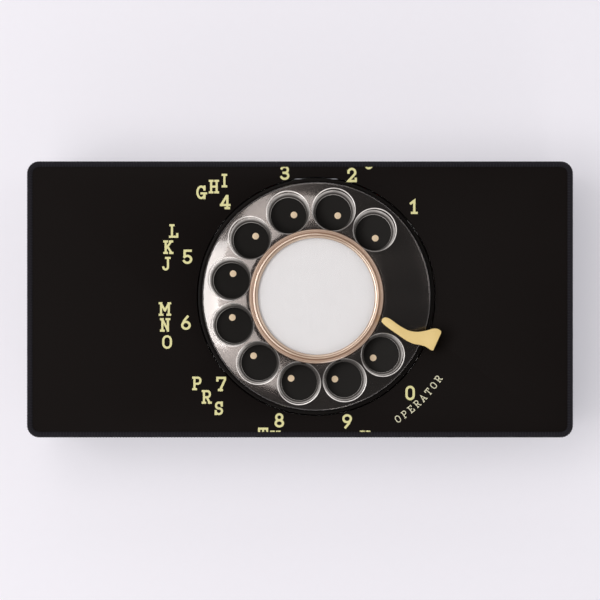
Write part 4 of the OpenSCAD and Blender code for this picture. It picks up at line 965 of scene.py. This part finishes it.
ring_low, ring_high = reach("card_bezel")
ring_radius = (ring_high.x - ring_low.x) / 2
mouth_radius = 19.295
inner_radius = 20.095
ring_steps = [(0, 1.0), (0.15, 0.72), (0.5, 0.55), (0.62, 0.66), (0.75, 0.42), (1.15, 0.2), (1.28, 0.3),
              (1.42, 0.1), (1.8, 0), (2.15, 0.04), (2.28, 0.16), (2.42, 0.08)]
ring_mouth = [(mouth_radius + 0.25, 0.16), (mouth_radius, 0.36), (mouth_radius, 0.48), (inner_radius, 0.48)]
ring = turned([(inner_radius, ring_low.z), (ring_radius, ring_low.z)]
              + [(ring_radius - inward, ring_high.z - drop) for inward, drop in ring_steps]
              + [(radius, ring_high.z - drop) for radius, drop in ring_mouth], dial, 192)
peach = Finish("peach_acrylic_ring", {"Metallic": 0.35, "IOR": 1.8, "Coat Weight": 1.0, "Coat IOR": 1.7,
                                      "Coat Roughness": 0.12})
clouds = peach.grain(90, 3.0)
turned_lines = peach.node("TexNoise", {"noise_dimensions": "1D"},
                          {"W": peach.reach_from(dial), "Scale": 1500, "Detail": 1.0})
layers = peach.node("ValToRGB", {"stops": [(0.36, paint(112, 82, 60)), (0.50, paint(190, 156, 128)),
                                           (0.62, paint(238, 220, 198))]}, {0: turned_lines})
peach.feed(Base_Color=peach.blend(clouds * 0.7, layers, paint(132, 98, 74)),
           Roughness=peach.between(clouds, 0.22, 0.38), Normal=peach.relief(turned_lines, 0.0002))
piece("card_ring", ring, peach, "dial", ["card_bezel"])


# ---- Finger stop ------------------------------------------------------------------------------
# A pressed hook in cream-gold enamel. Its foot is screwed to the face from below, and its blade
# reaches in over the rim of the wheel as far as the card ring.

stop_low, stop_high = reach("finger_stop")
blade_thickness = 1.8
blade_low = stop_high.z - blade_thickness
blade_start, blade_end = 22.9, 42.8
foot_start = 39.4
foot_lap = 0.6
upper_side = [(0.0, 0.2), (0.02, 0.95), (0.06, 1.35), (0.13, 1.3), (0.3, 0.35), (0.46, -0.15), (0.6, 0.25),
              (0.73, 1.5), (0.86, 3.25), (0.93, 3.6), (0.985, 3.3), (1.0, 2.6)]
lower_side = [(0.975, -3.5), (0.95, -3.75), (0.9, -3.5), (0.83, -3.25), (0.73, -3.4), (0.62, -3.75),
              (0.48, -3.45), (0.35, -2.75), (0.2, -2.0), (0.07, -1.15), (0.01, -0.5)]


def smooth_run(points, steps=4):
    """A curve through given points, as a draughtsman's spline gives it."""
    run = [Vector(point) for point in points]
    padded = [run[0]] + run + [run[-1]]
    found = []
    for a, b, c, d in zip(padded, padded[1:], padded[2:], padded[3:]):
        for k in range(steps):
            t = k / steps
            found.append((b * 2 + (c - a) * t + (a * 2 - b * 5 + c * 4 - d) * t ** 2
                          + (b * 3 - a - c * 3 + d) * t ** 3) / 2)
    return found + [run[-1]]


def pressed_plate(outline, low, high):
    """A flat blank of an outline, raised to a thickness."""
    bm = bmesh.new()
    blank = bm.faces.new([bm.verts.new((x, y, low)) for x, y in outline])
    bmesh.ops.translate(bm, verts=extruded(bm, blank).verts[:], vec=(0, 0, high - low))
    bmesh.ops.recalc_face_normals(bm, faces=bm.faces[:])
    return bm


outline = [(blade_start + share * (blade_end - blade_start), offset)
           for share, offset in smooth_run(upper_side) + smooth_run(lower_side)]
blade = soften(pressed_plate(outline, blade_low, stop_high.z), 0.3, 3, 60)
foot_outline = [(max(x, foot_start), y) for x, y in outline if x > foot_start - foot_lap]
foot = soften(pressed_plate(foot_outline, stop_low.z, blade_low + foot_lap), 0.15, 2, 60)
hook = placed(joined(blade, foot), (*dial, 0), math.radians(stop_angle))
cream_enamel = mottled("cream_gold_enamel", paint(213, 187, 119), paint(229, 204, 141), 120, 1700,
                       (0.34, 0.48), 0.00001, Specular_IOR_Level=0.35, Coat_Weight=0.2, Coat_Roughness=0.2)
piece("stop_hook", hook, cream_enamel, "case", ["finger_stop"])


# ---- Base -------------------------------------------------------------------------------------
# A zinc-plated steel plate closes the case from below. Four screws hold it, a row of slots under
# the ringer lets the sound out, and four moulded rubber feet sit under it.

base_low, base_high = reach("base_plate")
base_width = base_high.x - base_low.x
base_depth = base_high.y - base_low.y
base_corner = 1.5
base = stepped(base_width, base_depth, base_corner, [
    (0.2, base_low.z), (0, base_low.z + 0.2), (0, base_high.z - 0.2), (0.2, base_high.z)])
slot_width, slot_length, slot_pitch, slot_middle = 1.6, 22.0, 3.2, -75.0
slots = []
for k in range(-3, 4):
    slot = stepped(slot_width, slot_length, slot_width / 2 - 0.01,
                   [(0, base_low.z - 1), (0, base_high.z + 1)])
    slots.append(placed(slot, (slot_middle + slot_pitch * k, 0, 0)))
screw_clearance = 1.7
holes = [rod(screw_clearance, base_low.z - 1, base_high.z + 1, place, 24) for place in screw_places]
base = soften(carve(base, *slots, *holes), 0.12, 2, 60)
passivate = Finish("yellow_zinc", {"Metallic": 1.0})
spangle = passivate.grain(120, 4.0)
brushed = passivate.grain(1500, 2.0, (0.1, 1, 1))
passivate.feed(Base_Color=passivate.blend(spangle, (0.42, 0.43, 0.45, 1), (0.66, 0.66, 0.64, 1)),
               Roughness=passivate.between(spangle * 0.6 + brushed * 0.4, 0.28, 0.48),
               Normal=passivate.relief(brushed, 0.000008))
piece("bottom_plate", base, passivate, "case", ["base_plate"])

foot_low, foot_high = reach("rubber_feet")
foot_radius = 6.0
foot_x = foot_high.x - foot_radius
foot_y = foot_high.y - foot_radius
feet = [turned([(0, foot_low.z), (1.6, foot_low.z), (1.8, foot_low.z + 0.25), (2.6, foot_low.z + 0.25),
                (2.8, foot_low.z), (foot_radius - 0.7, foot_low.z), (foot_radius - 0.25, foot_low.z + 0.18),
                (foot_radius, foot_low.z + 0.6), (foot_radius, base_low.z - 0.4),
                (foot_radius - 0.3, base_low.z), (0, base_low.z)], (x * foot_x, y * foot_y), 56, closed=False)
        for x in (-1, 1) for y in (-1, 1)]
piece("moulded_feet", joined(*feet), rubber, "case", ["rubber_feet"])

thread_radius = 1.45
slit_width, slit_length, slit_depth = 0.7, 7.0, 0.65
screws = []
for place in screw_places:
    head = turned([(0, screw_low.z), (1.2, screw_low.z + 0.03), (2.2, screw_low.z + 0.22),
                   (2.7, screw_low.z + 0.6), (screw_head_radius, screw_low.z + 0.95),
                   (screw_head_radius, base_low.z), (thread_radius, base_low.z),
                   (thread_radius, screw_high.z - 0.6), (0.9, screw_high.z), (0, screw_high.z)],
                  place, 40, closed=False)
    slit = stepped(slit_length, slit_width, 0.05, [(0, screw_low.z - 1), (0, screw_low.z + slit_depth)])
    stopped_at = 0.6 + place[0] * 0.02 + place[1] * 0.05
    screws.append(carve(head, placed(slit, (*place, 0), stopped_at)))
piece("case_screws", joined(*screws), steel, "case", ["base_screws"])
